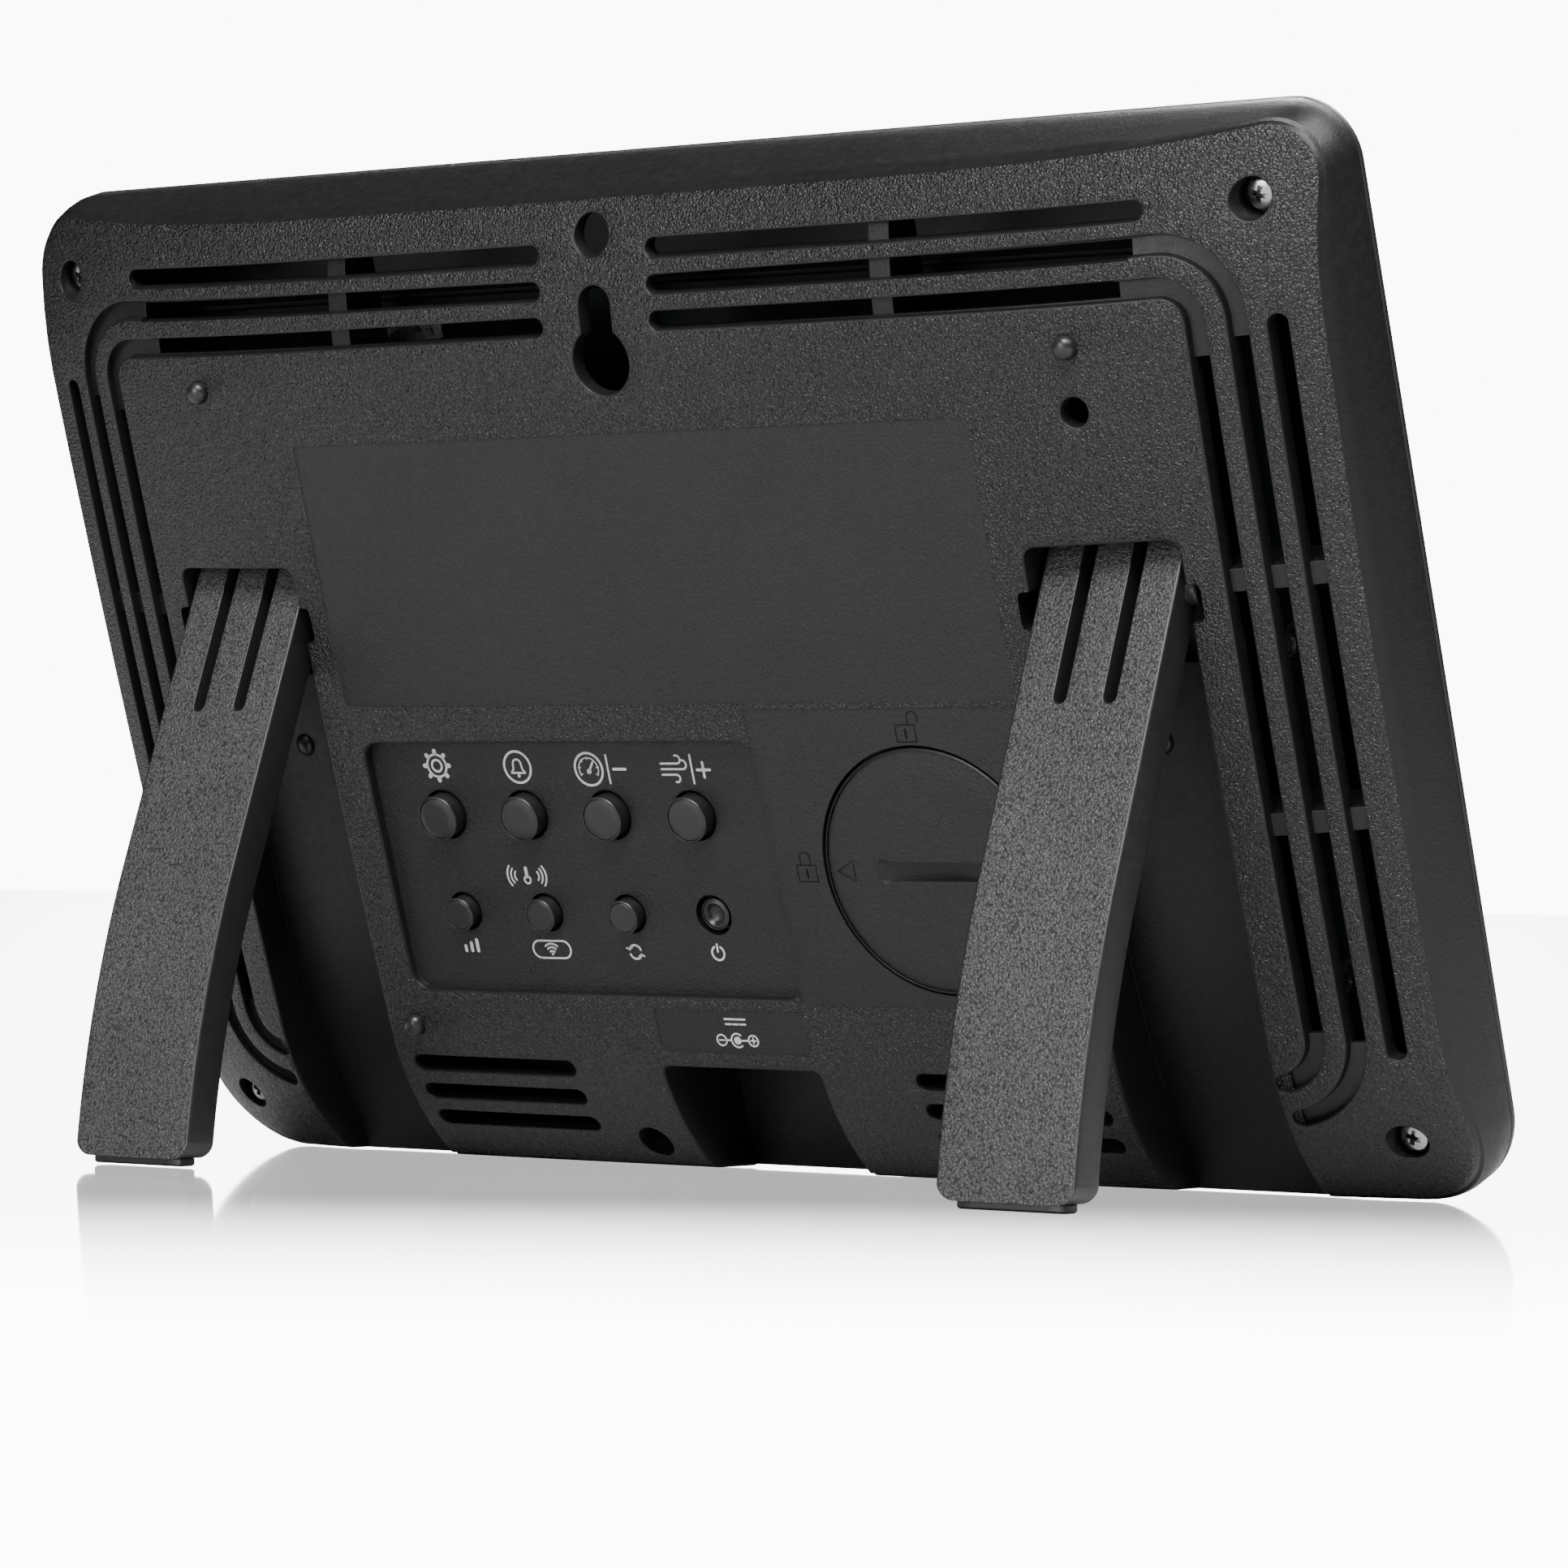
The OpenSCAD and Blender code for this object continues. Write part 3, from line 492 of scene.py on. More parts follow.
def cut_vents(shell):
    cuts = Builder()   # as far as the grooves' blind depth
    mirrored_wells(cuts, [ribbon(groove_path(i), SLOT_R) for i in (1, 2)], GROOVE_DEPTH, FLARE)
    plain = [across(TOP_SLOT_IN, TOP_SLOT_OUT[0], TOP_SLOT_Z[0]),
             upright(SIDE_SLOT_X[0], SIDE_SLOT_LOW[0], SIDE_SLOT_HIGH[0])]
    plain += [across(*LOW_SLOT_X, z) for z in LOW_SLOT_Z]
    mirrored_wells(cuts, plain, WALL + 3, FLARE)
    cut(shell, cuts)

    cuts = Builder()   # where the two inner vents are open
    for i in (1, 2):
        x, z = SIDE_SLOT_X[i], TOP_SLOT_Z[i]
        top = ribbon([(TOP_SLOT_IN + SLOT_R, z), (TOP_SLOT_OUT[i], z)], SLOT_R - HAIR, True, False)
        side = ribbon([(x, SIDE_SLOT_LOW[i]), (x, SIDE_SLOT_HIGH[i])], SLOT_R - HAIR, False, False)
        mirrored_wells(cuts, (top, side), WALL + 3, 0)
    cut(shell, cuts)


def add_vent_ribs(shell):
    """Smooth ribs across the open vents, just under the skin."""
    ribs = Builder()
    for side in (-1, 1):
        slab(ribs, side * RIB_X - 1.5, side * RIB_X + 1.5, 10, OUTSIDE_Y, 115.5, 131)
        for z in RIB_Z:
            xs = sorted((side * 80, side * 96.5))
            slab(ribs, *xs, 6, OUTSIDE_Y, z - 1.4, z + 1.4)
    ribs = combine(ribs.obj("ribs"), case_block("room", PART_Y, 0.7, 1.4), "INTERSECT")
    for face in ribs.data.polygons:
        face.material_index = SATIN
    combine(shell, ribs, "UNION")


def add_backing(shell):
    """What stands behind the skin: plug bay, key panel, channel boxes, battery cup, screw pillars."""
    bay = slab(Builder(), -BAY_X - WALL, BAY_X + WALL, 1.9, OUTSIDE_Y, BELOW_Z, BAY_TOP + WALL)
    inside = bay.obj("inside")
    join(inside, slab(Builder(), -13.4, 52.4, 16.5, OUTSIDE_Y, 28.8, 65.8))
    zs = [BELOW_Z + (CHANNEL_TOP + 6) * k / 40 for k in range(41)]
    section = [(6.9 if z > 70 else max(1.9, channel_floor(0, z) - 2), z) for z in zs]
    section += [(OUTSIDE_Y, zs[-1]), (OUTSIDE_Y, zs[0])]
    for side in (-1, 1):
        box = Builder()
        box.stack([[(x, y, z) for y, z in section] for x in channel_sides(side, 2)])
        join(inside, box)
    join(inside, lathe(Builder(), [(19, 10), (19, OUTSIDE_Y)], (CELL_X, CELL_Z)))
    for spot in SCREWS:
        join(inside, lathe(Builder(), [(4.3, 2.4), (4.3, OUTSIDE_Y)], spot, 32))
    combine(inside, case_block("room", PART_Y, 1.2, 0.7), "INTERSECT")
    combine(shell, inside, "UNION")


def cut_recesses(shell):
    """Everything sunk into the back, and the holes for hanging, for air and for the studs."""
    cuts = Builder()
    for side in (-1, 1):
        # the outline is a rounded rectangle that runs out past the bottom wall
        channel = rounded_rect(*channel_sides(side), BELOW_Z, CHANNEL_TOP, 1.6)
        well(cuts, channel, channel_floor, WIDE_FLARE)
    well(cuts, rounded_rect(-BAY_X, BAY_X, BELOW_Z, BAY_TOP, 1.0), BAY_Y, WIDE_FLARE)
    well(cuts, rounded_rect(-12.2, 51.2, 30.0, 64.6, 2.5), PANEL_Y, WIDE_FLARE, slots=(SATIN, FINE))
    well(cuts, disc(CELL_X, CELL_Z, DOOR_R + 0.3, 48), DOOR_Y - DOOR_T - 0.4, 0.2)
    for x, z in SCREWS:
        well(cuts, disc(x, z, 2.45), SEAT_Y, 0.2)
    well(cuts, keyhole_shape(4.25, 2.4, 114.4, 121.4), below_skin(WALL + 4), 0.3)
    well(cuts, disc(0, 129.9, 2.6), below_skin(WALL + 4), 0.3)
    well(cuts, disc(-67.5, 105, 1.8), below_skin(WALL + 4), FLARE)
    for x, z in WALL_BUMPERS:
        well(cuts, disc(x, z, BUMPER_R + HAIR), below_skin(0.3), 0)
    cut(shell, cuts)


def cut_openings(shell):
    """Deeper cuts inside the recesses."""
    cuts = Builder()   # room for each leg's hinge end, and its stud's seat
    for side in (-1, 1):
        room = rounded_rect(*channel_sides(side, -HAIR), 72, CHANNEL_TOP - HAIR, 1.4)
        well(cuts, room, 8.6, 0)
        stud = disc(side * LEG_X, LEG_BUMPER_Z, BUMPER_R + HAIR)
        well(cuts, stud, channel_floor(0, LEG_BUMPER_Z) - 0.3, 0)
    cut(shell, cuts)
    cuts = Builder()   # trunnion notches, the battery cup's mouth and the keys' holes
    for side in (-1, 1):
        well(cuts, rounded_rect(*channel_sides(side, 1.8), 78.4, 83.3, 0.8), 13.6, 0)
    well(cuts, disc(CELL_X, CELL_Z, 14.7, 48), 12.0, 0)
    for column, small in enumerate(SMALL_KEY_HOLES):
        for z, r in ((LARGE_Z, 3.4), (SMALL_Z, small)):
            hole = disc(KEY_X0 - column * KEY_PITCH, z, r)
            well(cuts, hole, 12.0, 0, surface=lambda x, z: PANEL_Y)
    cut(shell, cuts)


def cut_smooth_areas(shell):
    """The label, the field around the battery door and the inlet's sign, a hair below the grain."""
    cuts = Builder()
    low = below_skin(0.1)
    for shape, spans in ((rounded_rect(-52.7, 52.7, 69.7, 105.2, 0.6), 50),
                         (rounded_rect(-57.2, -12.0, 29.2, 69.0, 0.6, 1.5), 24),
                         (rounded_rect(-11.8, 11.8, 22.2, 28.3, 0.4), 14)):
        well(cuts, shape, low, 0, spans=spans, slots=(SATIN, FINE), head=1)
    cut(shell, cuts)


def rear_cover_mesh():
    shell = case_block("rear_cover_shell", PART_Y, 0.0, 0.0, SHELL_RIM)
    combine(shell, case_block("inner", PART_Y - 1, WALL, WALL), "DIFFERENCE")
    cut_vents(shell)
    add_vent_ribs(shell)
    add_backing(shell)
    cut_recesses(shell)
    cut_openings(shell)
    cut_smooth_areas(shell)
    return to_case(shell)


# ---------- front bezel ----------
def bezel_mesh():
    gap_y = PART_Y - 0.3
    levels = [(gap_y, 0.12), (gap_y - 0.15, 0.0), (0.2, 0.0), (0.0, 0.06), (-0.2, 0.2)]
    levels += [(-y, 0.06 + 0.72 * y) for y in (0.8, 1.6, 2.4, 3.2)]
    levels += [(-3.9, 3.0), (-4.45, 3.6), (-4.8, 4.3), (-4.95, 5.0), (-BEZEL_D, 5.8)]
    build = Builder()
    rings = [build.ring(at_depth(case_outline(0, inset), y)) for y, inset in levels]
    pocket, opening = (81.0, 20, 121, 4.0), (77.0, 24, 117, 2.0)   # the window's seat and the view
    for outline, y in (((81.2, 19.8, 121.2, 4.2), -BEZEL_D), (pocket, -BEZEL_D + 0.2),
                       (pocket, -3.8), (opening, -3.8), (opening, -2.4)):
        rings.append(build.ring(at_depth(frame_outline(*outline), y)))
    for y, inset in ((-2.4, 3.6), (0, 3.6), (0, WALL), (gap_y, WALL)):
        rings.append(build.ring(at_depth(case_outline(0, inset), y)))
    for a, b in zip(rings, rings[1:] + rings[:1]):
        build.bridge(a, b)
    return build.obj("bezel_frame")


# ---------- legs ----------
HINGE_END_R = 6.3


def leg_station(s):
    """Outer face of a stored leg at a distance s below the bow: (y, z, inward normal)."""
    if s <= 0:
        return LEG_FACE_Y, BOW_Z - s, (-1.0, 0.0)
    t = s / BOW_R
    centre = LEG_FACE_Y - BOW_R
    return centre + BOW_R * math.cos(t), BOW_Z - BOW_R * math.sin(t), (-math.cos(t), math.sin(t))


def leg_section():
    """Cross-section as (x, depth below the outer face, material of the stretch that follows)."""
    half, soft = LEG_W / 2, 0.35
    face = [(-half + soft + (LEG_W - 2 * soft) * k / 12, 0.0, GRAIN if k < 12 else SATIN) for k in range(13)]
    rounds = []
    for cx, cd, start in ((half - soft, soft, 90), (half - soft, LEG_T - soft, 0),
                          (soft - half, LEG_T - soft, -90), (soft - half, soft, 180)):
        for k in range(5):
            t = math.radians(start - 22.5 * k)
            rounds.append((cx + soft * math.cos(t), cd - soft * math.sin(t), SATIN))
    return face + rounds[1:-1]


def leg_blade(name):
    """A stored leg as one bent bar, square at both ends."""
    build = Builder()
    section = leg_section()
    stops = [-46 + 46 * k / 16 for k in range(17)] + [45 * k / 24 for k in range(1, 25)]
    levels = []
    for s in stops:
        y, z, (ny, nz) = leg_station(s)
        levels.append([(x, y + ny * d, z + nz * d) for x, d, _ in section])
    build.stack(levels, [slot for _, _, slot in section])
    return build.obj(name)


def cut_hinge_end(leg):
    """Rounds the leg's upper end about its pivot."""
    build = Builder()
    low, high = PIVOT.z, PIVOT.z + 20
    outline = arc(PIVOT.y, PIVOT.z, HINGE_END_R, 0, 180, 30)
    outline += [(PIVOT.y - 12, low), (PIVOT.y - 12, high), (PIVOT.y + 12, high), (PIVOT.y + 12, low)]
    build.stack([[(x, y, z) for y, z in outline] for x in (-20, 20)])
    cut(leg, build)


def add_barrels(leg):
    """The hinge barrel and, through it, the trunnions."""
    turns = [2 * math.pi * k / 40 for k in range(40)]
    for r, half in ((2.5, LEG_W / 2 - 0.5), (1.7, LEG_W / 2 + 1.4)):
        build = Builder()
        build.stack([[(x, PIVOT.y + (r - e) * math.cos(t), PIVOT.z + (r - e) * math.sin(t)) for t in turns]
                     for x, e in ((-half, 0.25), (0.25 - half, 0), (half - 0.25, 0), (half, 0.25))])
        join(leg, build)


def cut_leg_slots(leg):
    """Two slots, open at the top."""
    build = Builder()
    for x in (-3.5, 3.5):
        slot = ribbon([(x, PIVOT.z - 14.7), (x, PIVOT.z + 12)], 0.9, True, False)
        well(build, slot, 8.0, 0.15, surface=lambda x, z: LEG_FACE_Y)
    cut(leg, build)


def trim_foot(leg, side):
    """Ends the leg flat on its pad, with rounded corners."""
    parts = []
    for more, z0, z1, r in ((2.5, 10, 140, 1), (0.01, 1.0, 30, 2.6)):
        build = Builder()
        x0, x1 = side * LEG_X - LEG_W / 2 - more, side * LEG_X + LEG_W / 2 + more
        well(build, rounded_rect(x0, x1, z0, z1, r), -80.0, 0, surface=lambda x, z: 80.0)
        parts.append(build.obj("keep"))
    keep = combine(*parts, "UNION")
    keep.data.transform(Matrix.Scale(MM, 4))
    combine(leg, keep, "INTERSECT")


def leg_mesh(name, side):
    leg = leg_blade(name)
    cut_hinge_end(leg)
    add_barrels(leg)
    cut_leg_slots(leg)
    swing = Matrix.Translation(PIVOT) @ Matrix.Rotation(SWING, 4, "X") @ Matrix.Translation(-PIVOT)
    leg.data.transform(CASE @ Matrix.Translation(Vector((side * LEG_X, 0, 0))) @ swing)
    trim_foot(leg, side)
    return leg


# ---------- battery door, keys, screws and studs ----------
def door_mesh():
    profile = [(0.02, DOOR_Y)] + [(DOOR_R * k / 8, DOOR_Y) for k in range(1, 8)] + eased(DOOR_R, DOOR_Y, 0.35)
    under = DOOR_Y - DOOR_T
    profile += [(DOOR_R, under), (14.4, under), (14.4, 16), (12.8, 16), (12.8, under), (0.02, under)]
    slots = [FINE] * 8 + [SATIN] * (len(profile) - 9)
    door = lathe(Builder(), profile, (CELL_X, CELL_Z), 120, slots).obj("battery_door_cap")
    lugs = Builder()
    for side in (-1, 1):
        xs = sorted((CELL_X + side * 13.6, CELL_X + side * 16.4))
        slab(lugs, *xs, 16.0, 17.0, CELL_Z - 2.5, CELL_Z + 2.5)
    join(door, lugs)
    coin = Builder()   # slot for a coin, whose floor is an arc
    reach, sink, half = 8.6, 1.3, 1.25
    coin_r = (reach * reach + sink * sink) / (2 * sink)
    xs = [-reach + 2 * reach * k / 24 for k in range(25)]
    outline = [(x, DOOR_Y - sink + coin_r - math.sqrt(coin_r * coin_r - x * x)) for x in xs]
    outline += [(reach, DOOR_Y + 1), (-reach, DOOR_Y + 1)]
    coin.stack([[(CELL_X + x, y, CELL_Z + z) for x, y in outline] for z in (-half, half)])
    cut(door, coin)
    return to_case(door)


def turned_key(name, column, z, r, crown, flange):
    """A key from its crown's profile down its wall to the flange and the stem."""
    profile = crown + [(r, 16.2), (r + flange, 16.2), (r + flange, 15.0)]
    profile += [(1.5, 15.0), (1.5, 14.3), (0.02, 14.3)]
    return to_case(lathe(Builder(), profile, (KEY_X0 - column * KEY_PITCH, z), 72).obj(name))


def key_mesh(name, column, z, r, top):
    crown = [(0.02, top), (r * 0.55, top), (r * 0.8, top)] + eased(r, top, 0.3)
    return turned_key(name, column, z, r, crown, 0.9)


def reset_mesh(name):
    """A key just below the panel, with a dimple for a pin."""
    top = PANEL_Y - 0.25
    dimple = [(0.02, top - 1.0), (0.7, top - 0.95), (1.1, top - 0.7), (1.35, top - 0.2), (1.55, top)]
    return turned_key(name, 3, SMALL_Z, 2.2, dimple + eased(2.2, top, 0.25), 0.5)


def screws_mesh():
    """Case screws with pan heads and cross recesses, as one object of separate solids."""
    head, shank, tip = 1.95, 1.25, SEAT_Y - 6
    dome = [math.radians(a) for a in range(1, 91, 11)]
    crown = [(head * math.sin(t), SEAT_Y + 1.3 + 0.5 * math.cos(t)) for t in dome]
    parts = []
    for x, z in SCREWS:
        profile = crown + [(head, SEAT_Y), (shank, SEAT_Y), (shank, tip), (0.02, tip)]
        screw = lathe(Builder(), profile, (x, z), 48).obj("screw")
        for turn in (20, 110):
            build = Builder()
            c, s = math.cos(math.radians(turn)), math.sin(math.radians(turn))
            build.stack([[(x + c * u - s * v, SEAT_Y + y, z + s * u + c * v)
                          for u, v in ((-long, -wide), (long, -wide), (long, wide), (-long, wide))]
                         for y, long, wide in ((2.6, 1.35, 0.34), (0.4, 0.5, 0.3))])
            cut(screw, build)
        parts.append(screw)
    return to_case(joined("screw_heads", parts))


def joined(name, parts):
    """Several objects as one, each still its own solid."""
    work = bmesh.new()
    for part in parts:
        work.from_mesh(part.data)
        bpy.data.objects.remove(part)
    mesh = bpy.data.meshes.new(name)
    work.to_mesh(mesh)
    work.free()
    return in_scene(name, mesh)


def studs_mesh(name, sites, rise):
    """Rubber studs with domed tops, each at (x, y, z) on the surface."""
    build = Builder()
    dome = [math.radians(a) for a in range(2, 91, 11)]
    for x, y, z in sites:
        crown = [(BUMPER_R * math.sin(t), y + rise - 0.75 * BUMPER_R * (1 - math.cos(t))) for t in dome]
        lathe(build, crown + [(BUMPER_R, y - 1.2), (0.02, y - 1.2)], (x, z), 40)
    return to_case(build.obj(name))


def pad_mesh(name):
    """A leg's foot pad with eased edges, in the box of its CAD node."""
    low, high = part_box(name)
    x0, y0, z0, x1, y1, z1 = (v / MM for v in (*low, *high))
    ease = 0.25
    levels = []
    for z, inset in ((z0, ease), (z0 + ease, 0), (z1 - ease, 0), (z1, 0)):
        left, right = rounded_rect(x0 + inset, x1 - inset, y0 + inset, y1 - inset, 0.8 - inset / 2)
        levels.append([(x, y, z) for x, y in left + right[::-1]])
    build = Builder()
    build.stack(levels)
    return build.obj(name.replace("_pad", "_foot_pad"), Matrix.Scale(MM, 4))


# ---------- printed and moulded marks ----------
INK_T = 0.03     # how far a mark reaches above and below its surface
SIGN_W = 0.17    # line width of the moulded signs


class Marks:
    """Flat marks that lie on a surface, each a thin closed solid."""

    def __init__(self, surface):
        self.build, self.surface = Builder(), surface

    def shape(self, pair):
        left, right = pair
        loop = left + right[::-1]
        low = self.build.ring([(x, self.surface(x, z) - INK_T, z) for x, z in loop])
        high = self.build.ring([(x, self.surface(x, z) + INK_T, z) for x, z in loop])
        self.build.bridge(low, high)
        count = len(left)
        for ring in (low, high):
            for i in range(count - 1):
                a, b, c, d = i, i + 1, 2 * count - 2 - i, 2 * count - 1 - i
                self.build.face([ring[a], ring[b], ring[c], ring[d]])

    def line(self, points, width):
        self.shape(ribbon(points, width / 2))

    def dash(self, x0, z0, x1, z1, width):
        self.line([(x0, z0), (x1, z1)], width)

    def ring_line(self, cx, cz, r, width, a0=0, a1=360, steps=36):
        if a1 - a0 < 360:
            self.line(arc(cx, cz, r, a0, a1, steps), width)
            return
        turns = [2 * math.pi * k / steps for k in range(steps)]
        rings = []
        inner, outer = r - width / 2, r + width / 2
        for radius, side in ((inner, -1), (outer, -1), (outer, 1), (inner, 1)):
            loop = [(cx + radius * math.cos(t), cz + radius * math.sin(t)) for t in turns]
            rings.append(self.build.ring([(x, self.surface(x, z) + side * INK_T, z) for x, z in loop]))
        for a, b in zip(rings, rings[1:] + rings[:1]):
            self.build.bridge(a, b)

    def dot(self, cx, cz, r):
        self.shape(disc(cx, cz, r, 16))

    def obj(self, name, shift=(0, 0)):
        for v in self.build.verts:
            v.x, v.z = v.x + shift[0], v.z + shift[1]
        return to_case(self.build.obj(name))


def panel_marks():
    """Light grey pictograms on the key panel. The case is seen from behind, so +x is to the left."""
    ink = Marks(lambda x, z: PANEL_Y)
    thin = 0.32
    # settings: a gear
    x, z = 39.3, 61.6
    ink.ring_line(x, z, 0.8, thin)
    ink.ring_line(x, z, 1.55, thin)
    for k in range(8):
        t = 2 * math.pi * k / 8
        c, s = math.cos(t), math.sin(t)
        ink.dash(x + 1.72 * c, z + 1.72 * s, x + 2.02 * c, z + 2.02 * s, 0.62)
    # alarm: a bell in a circle
    x, z = 25.9, 61.4
    ink.ring_line(x, z, 2.15, thin)
    bell = [(x - 1.1, z - 0.75), (x - 0.72, z - 0.3), (x - 0.66, z + 0.35)]
    bell += arc(x, z + 0.4, 0.66, 180, 0, 8) + [(x + 0.72, z - 0.3), (x + 1.1, z - 0.75)]
    ink.line(bell, 0.26)
    ink.dash(x - 1.1, z - 0.8, x + 1.1, z - 0.8, 0.26)
    ink.dot(x, z - 1.2, 0.24)
    # gauge, bar and minus
    x, z = 14.3, 61.1
    ink.ring_line(x, z, 2.2, thin)
    ink.ring_line(x, z, 1.55, 0.16, -30, 210, 24)
    for k in range(7):
        t = math.radians(-30 + 40 * k)
        c, s = math.cos(t), math.sin(t)
        ink.dash(x + 1.35 * c, z + 1.35 * s, x + 1.6 * c, z + 1.6 * s, 0.2)
    ink.dash(x, z - 0.3, x - 0.75, z + 0.85, 0.3)
    ink.dot(x, z - 0.3, 0.36)
    ink.dash(11.2, 59.2, 11.2, 63.0, 0.28)
    ink.dash(10.3, 61.1, 8.4, 61.1, 0.36)
    # wind, bar and plus
    x = 2.6
    for z, length, curl in ((61.85, 2.6, 0.55), (61.1, 3.4, 0.6), (60.35, 2.2, -0.5)):
        turn = -1 if curl > 0 else 1
        hook = arc(x - length, z + curl, abs(curl), 90 * turn, 290 * turn, 12)
        ink.line([(x, z), (x - length, z)] + hook[1:], 0.26)
    ink.dash(-2.2, 59.2, -2.2, 63.0, 0.28)
    ink.dash(-3.0, 61.0, -5.0, 61.0, 0.36)
    ink.dash(-4.0, 60.0, -4.0, 62.0, 0.36)
    # above the small keys: a thermometer between its waves
    x, z = 26.1, 46.4
    ink.ring_line(x + 1.9, z - 0.55, 0.5, 0.26)
    ink.dash(x + 1.9, z - 0.1, x + 1.9, z + 1.05, 0.5)
    for cx, start in ((x + 0.8, 140), (x + 3.0, -40)):
        for r in (0.9, 1.5, 2.1):
            ink.line(arc(cx, z, r, start, start + 80, 8), 0.26)
    # channel: rising bars
    x, z = 39.7, 36.5
    for k in range(3):
        ink.dash(x + 1.0 - k, z - 0.7, x + 1.0 - k, z - 0.1 + 0.45 * k, 0.5)
    # wireless: radio waves in a pill
    x, z = 26.3, 36.2
    ink.line([(x + 1.9, z + 1.2)] + arc(x - 1.9, z, 1.2, 90, 270, 12) + [(x + 1.9, z - 1.2)], 0.26)
    ink.line(arc(x + 1.9, z, 1.2, -90, 90, 12), 0.26)
    for r in (0.55, 1.05, 1.55):
        ink.line(arc(x, z - 0.75, r, 50, 130, 8), 0.26)
    ink.dot(x, z - 0.62, 0.2)
    # refresh: two arrows that chase each other
    x, z, r = 12.6, 36.1, 0.95
    for turn in (20, 200):
        ink.line(arc(x, z, r, turn, turn + 140, 10), 0.3)
        c, s = math.cos(math.radians(turn)), math.sin(math.radians(turn))
        ink.line([(x + r * c + 0.45 * c, z + r * s + 0.25 * c), (x + r * c, z + r * s),
                  (x + 0.5 * c - 0.1 * s, z + r * s + 0.3 * c)], 0.24)
    # reset: a power ring
    x, z = -0.7, 36.2
    ink.ring_line(x, z, 0.95, 0.28, 120, 420, 24)
    ink.dash(x, z + 0.2, x, z + 1.2, 0.28)
    return ink.obj("panel_print", (1.2, -0.55))


def inlet_marks():
    """Direct-current sign and the plug's polarity sign, above the plug bay."""
    ink = Marks(lambda x, z: back_y(x, z) - 0.1)
    x, z = -0.7, 24.1
    ink.ring_line(x + 2.5, z, 0.75, 0.22)
    ink.dash(x + 2.9, z, x + 2.1, z, 0.2)
    ink.dash(x + 1.7, z, x + 1.05, z, 0.24)
    ink.ring_line(x, z, 0.95, 0.24, -130, 130, 20)
    ink.dot(x, z, 0.55)
    ink.dash(x - 0.55, z, x - 1.7, z, 0.24)
    ink.ring_line(x - 2.5, z, 0.75, 0.22)
    ink.dash(x - 2.9, z, x - 2.1, z, 0.2)
    ink.dash(x - 2.5, z - 0.4, x - 2.5, z + 0.4, 0.2)
    x, z = -0.9, 26.7
    ink.dash(x + 1.6, z + 0.35, x - 1.6, z + 0.35, 0.26)
    for k in (-1, 0, 1):
        ink.dash(x + 1.15 * k + 0.4, z - 0.35, x + 1.15 * k - 0.4, z - 0.35, 0.26)
    return ink.obj("inlet_print")


def padlock(ink, x, z, open_shackle):
    """A padlock's outline. Open, its shackle stands beside the body."""
    half, high = 1.45, 1.1
    corners = ((-1, -1), (1, -1), (1, 1), (-1, 1), (-1, -1))
    ink.line([(x + half * i, z + high * k) for i, k in corners], SIGN_W)
    ink.line([(x, z - 0.55), (x, z + 0.45)], 2 * SIGN_W)
    sx, foot = (x - 1.3, z + 1.5) if open_shackle else (x, z + 1.15)
    bow = arc(sx, z + 2.1, 0.75, 0, 180, 12)
    ink.line([(sx + 0.75, z + 1.15), (sx + 0.75, z + 2.1)] + bow[1:] + [(sx - 0.75, foot)], SIGN_W)


def lock_marks():
    ink = Marks(lambda x, z: back_y(x, z) - 0.1)
    padlock(ink, -17.1, 47.2, False)
    padlock(ink, -36.0, 65.7, True)
    return ink.obj("lock_signs")


def door_mark():
    ink = Marks(lambda x, z: DOOR_Y)
    ink.line([(-22.0, 47.6), (-24.4, 49.0), (-24.4, 46.2), (-22.0, 47.6)], SIGN_W)
    return ink.obj("door_pointer")


# ---------- materials ----------
def new_material(name):
    material = bpy.data.materials.new(name)
    material.use_nodes = True
    tree = material.node_tree
    shader = tree.nodes["Principled BSDF"]
    return material, tree, shader


def link(tree, a, out, b, into):
    tree.links.new(a.outputs[out], b.inputs[into])


def add_node(tree, kind, **values):
    """A new shader node, with values for its inputs. An underscore stands for a space in their names."""
    node = tree.nodes.new("ShaderNode" + kind)
    for name, value in values.items():
        node.inputs[name.replace("_", " ")].default_value = value
    return node


def noise_node(tree, scale, detail=2.0, rough=0.5, distortion=0.0):
    """Solid noise in the piece's own space; scale is features per metre."""
    place = tree.nodes.get("place") or add_node(tree, "TexCoord")
    place.name = "place"
    node = add_node(tree, "TexNoise", Scale=scale, Detail=detail, Roughness=rough, Distortion=distortion)
    link(tree, place, "Object", node, "Vector")
    return node


def ramp_node(tree, source, out, stops):
    node = add_node(tree, "ValToRGB")
    while len(node.color_ramp.elements) < len(stops):
        node.color_ramp.elements.new(0.5)
    for element, (place, value) in zip(node.color_ramp.elements, stops):
        element.position = place
        element.color = (*value, 1.0) if isinstance(value, tuple) else (value, value, value, 1.0)
    link(tree, source, out, node, "Fac")
    return node


def bump_node(tree, height, out, strength, distance, before=None):
    node = add_node(tree, "Bump", Strength=strength, Distance=distance)
    link(tree, height, out, node, "Height")
    if before is not None:
        link(tree, before, "Normal", node, "Normal")
    return node


def soft_edges(tree):
    """Eases the shading of edges that are too small to model."""
    node = add_node(tree, "Bevel", Radius=0.00016)
    node.samples = 6
    return node


def mottled(tree, scale, shade, dark, light):
    """The base colour: shade, from dark to light times as bright in broad patches."""
    stops = ((0.3, tuple(dark * c for c in shade)), (0.7, tuple(min(1, light * c) for c in shade)))
    return ramp_node(tree, noise_node(tree, scale, 3, 0.6), "Fac", stops)


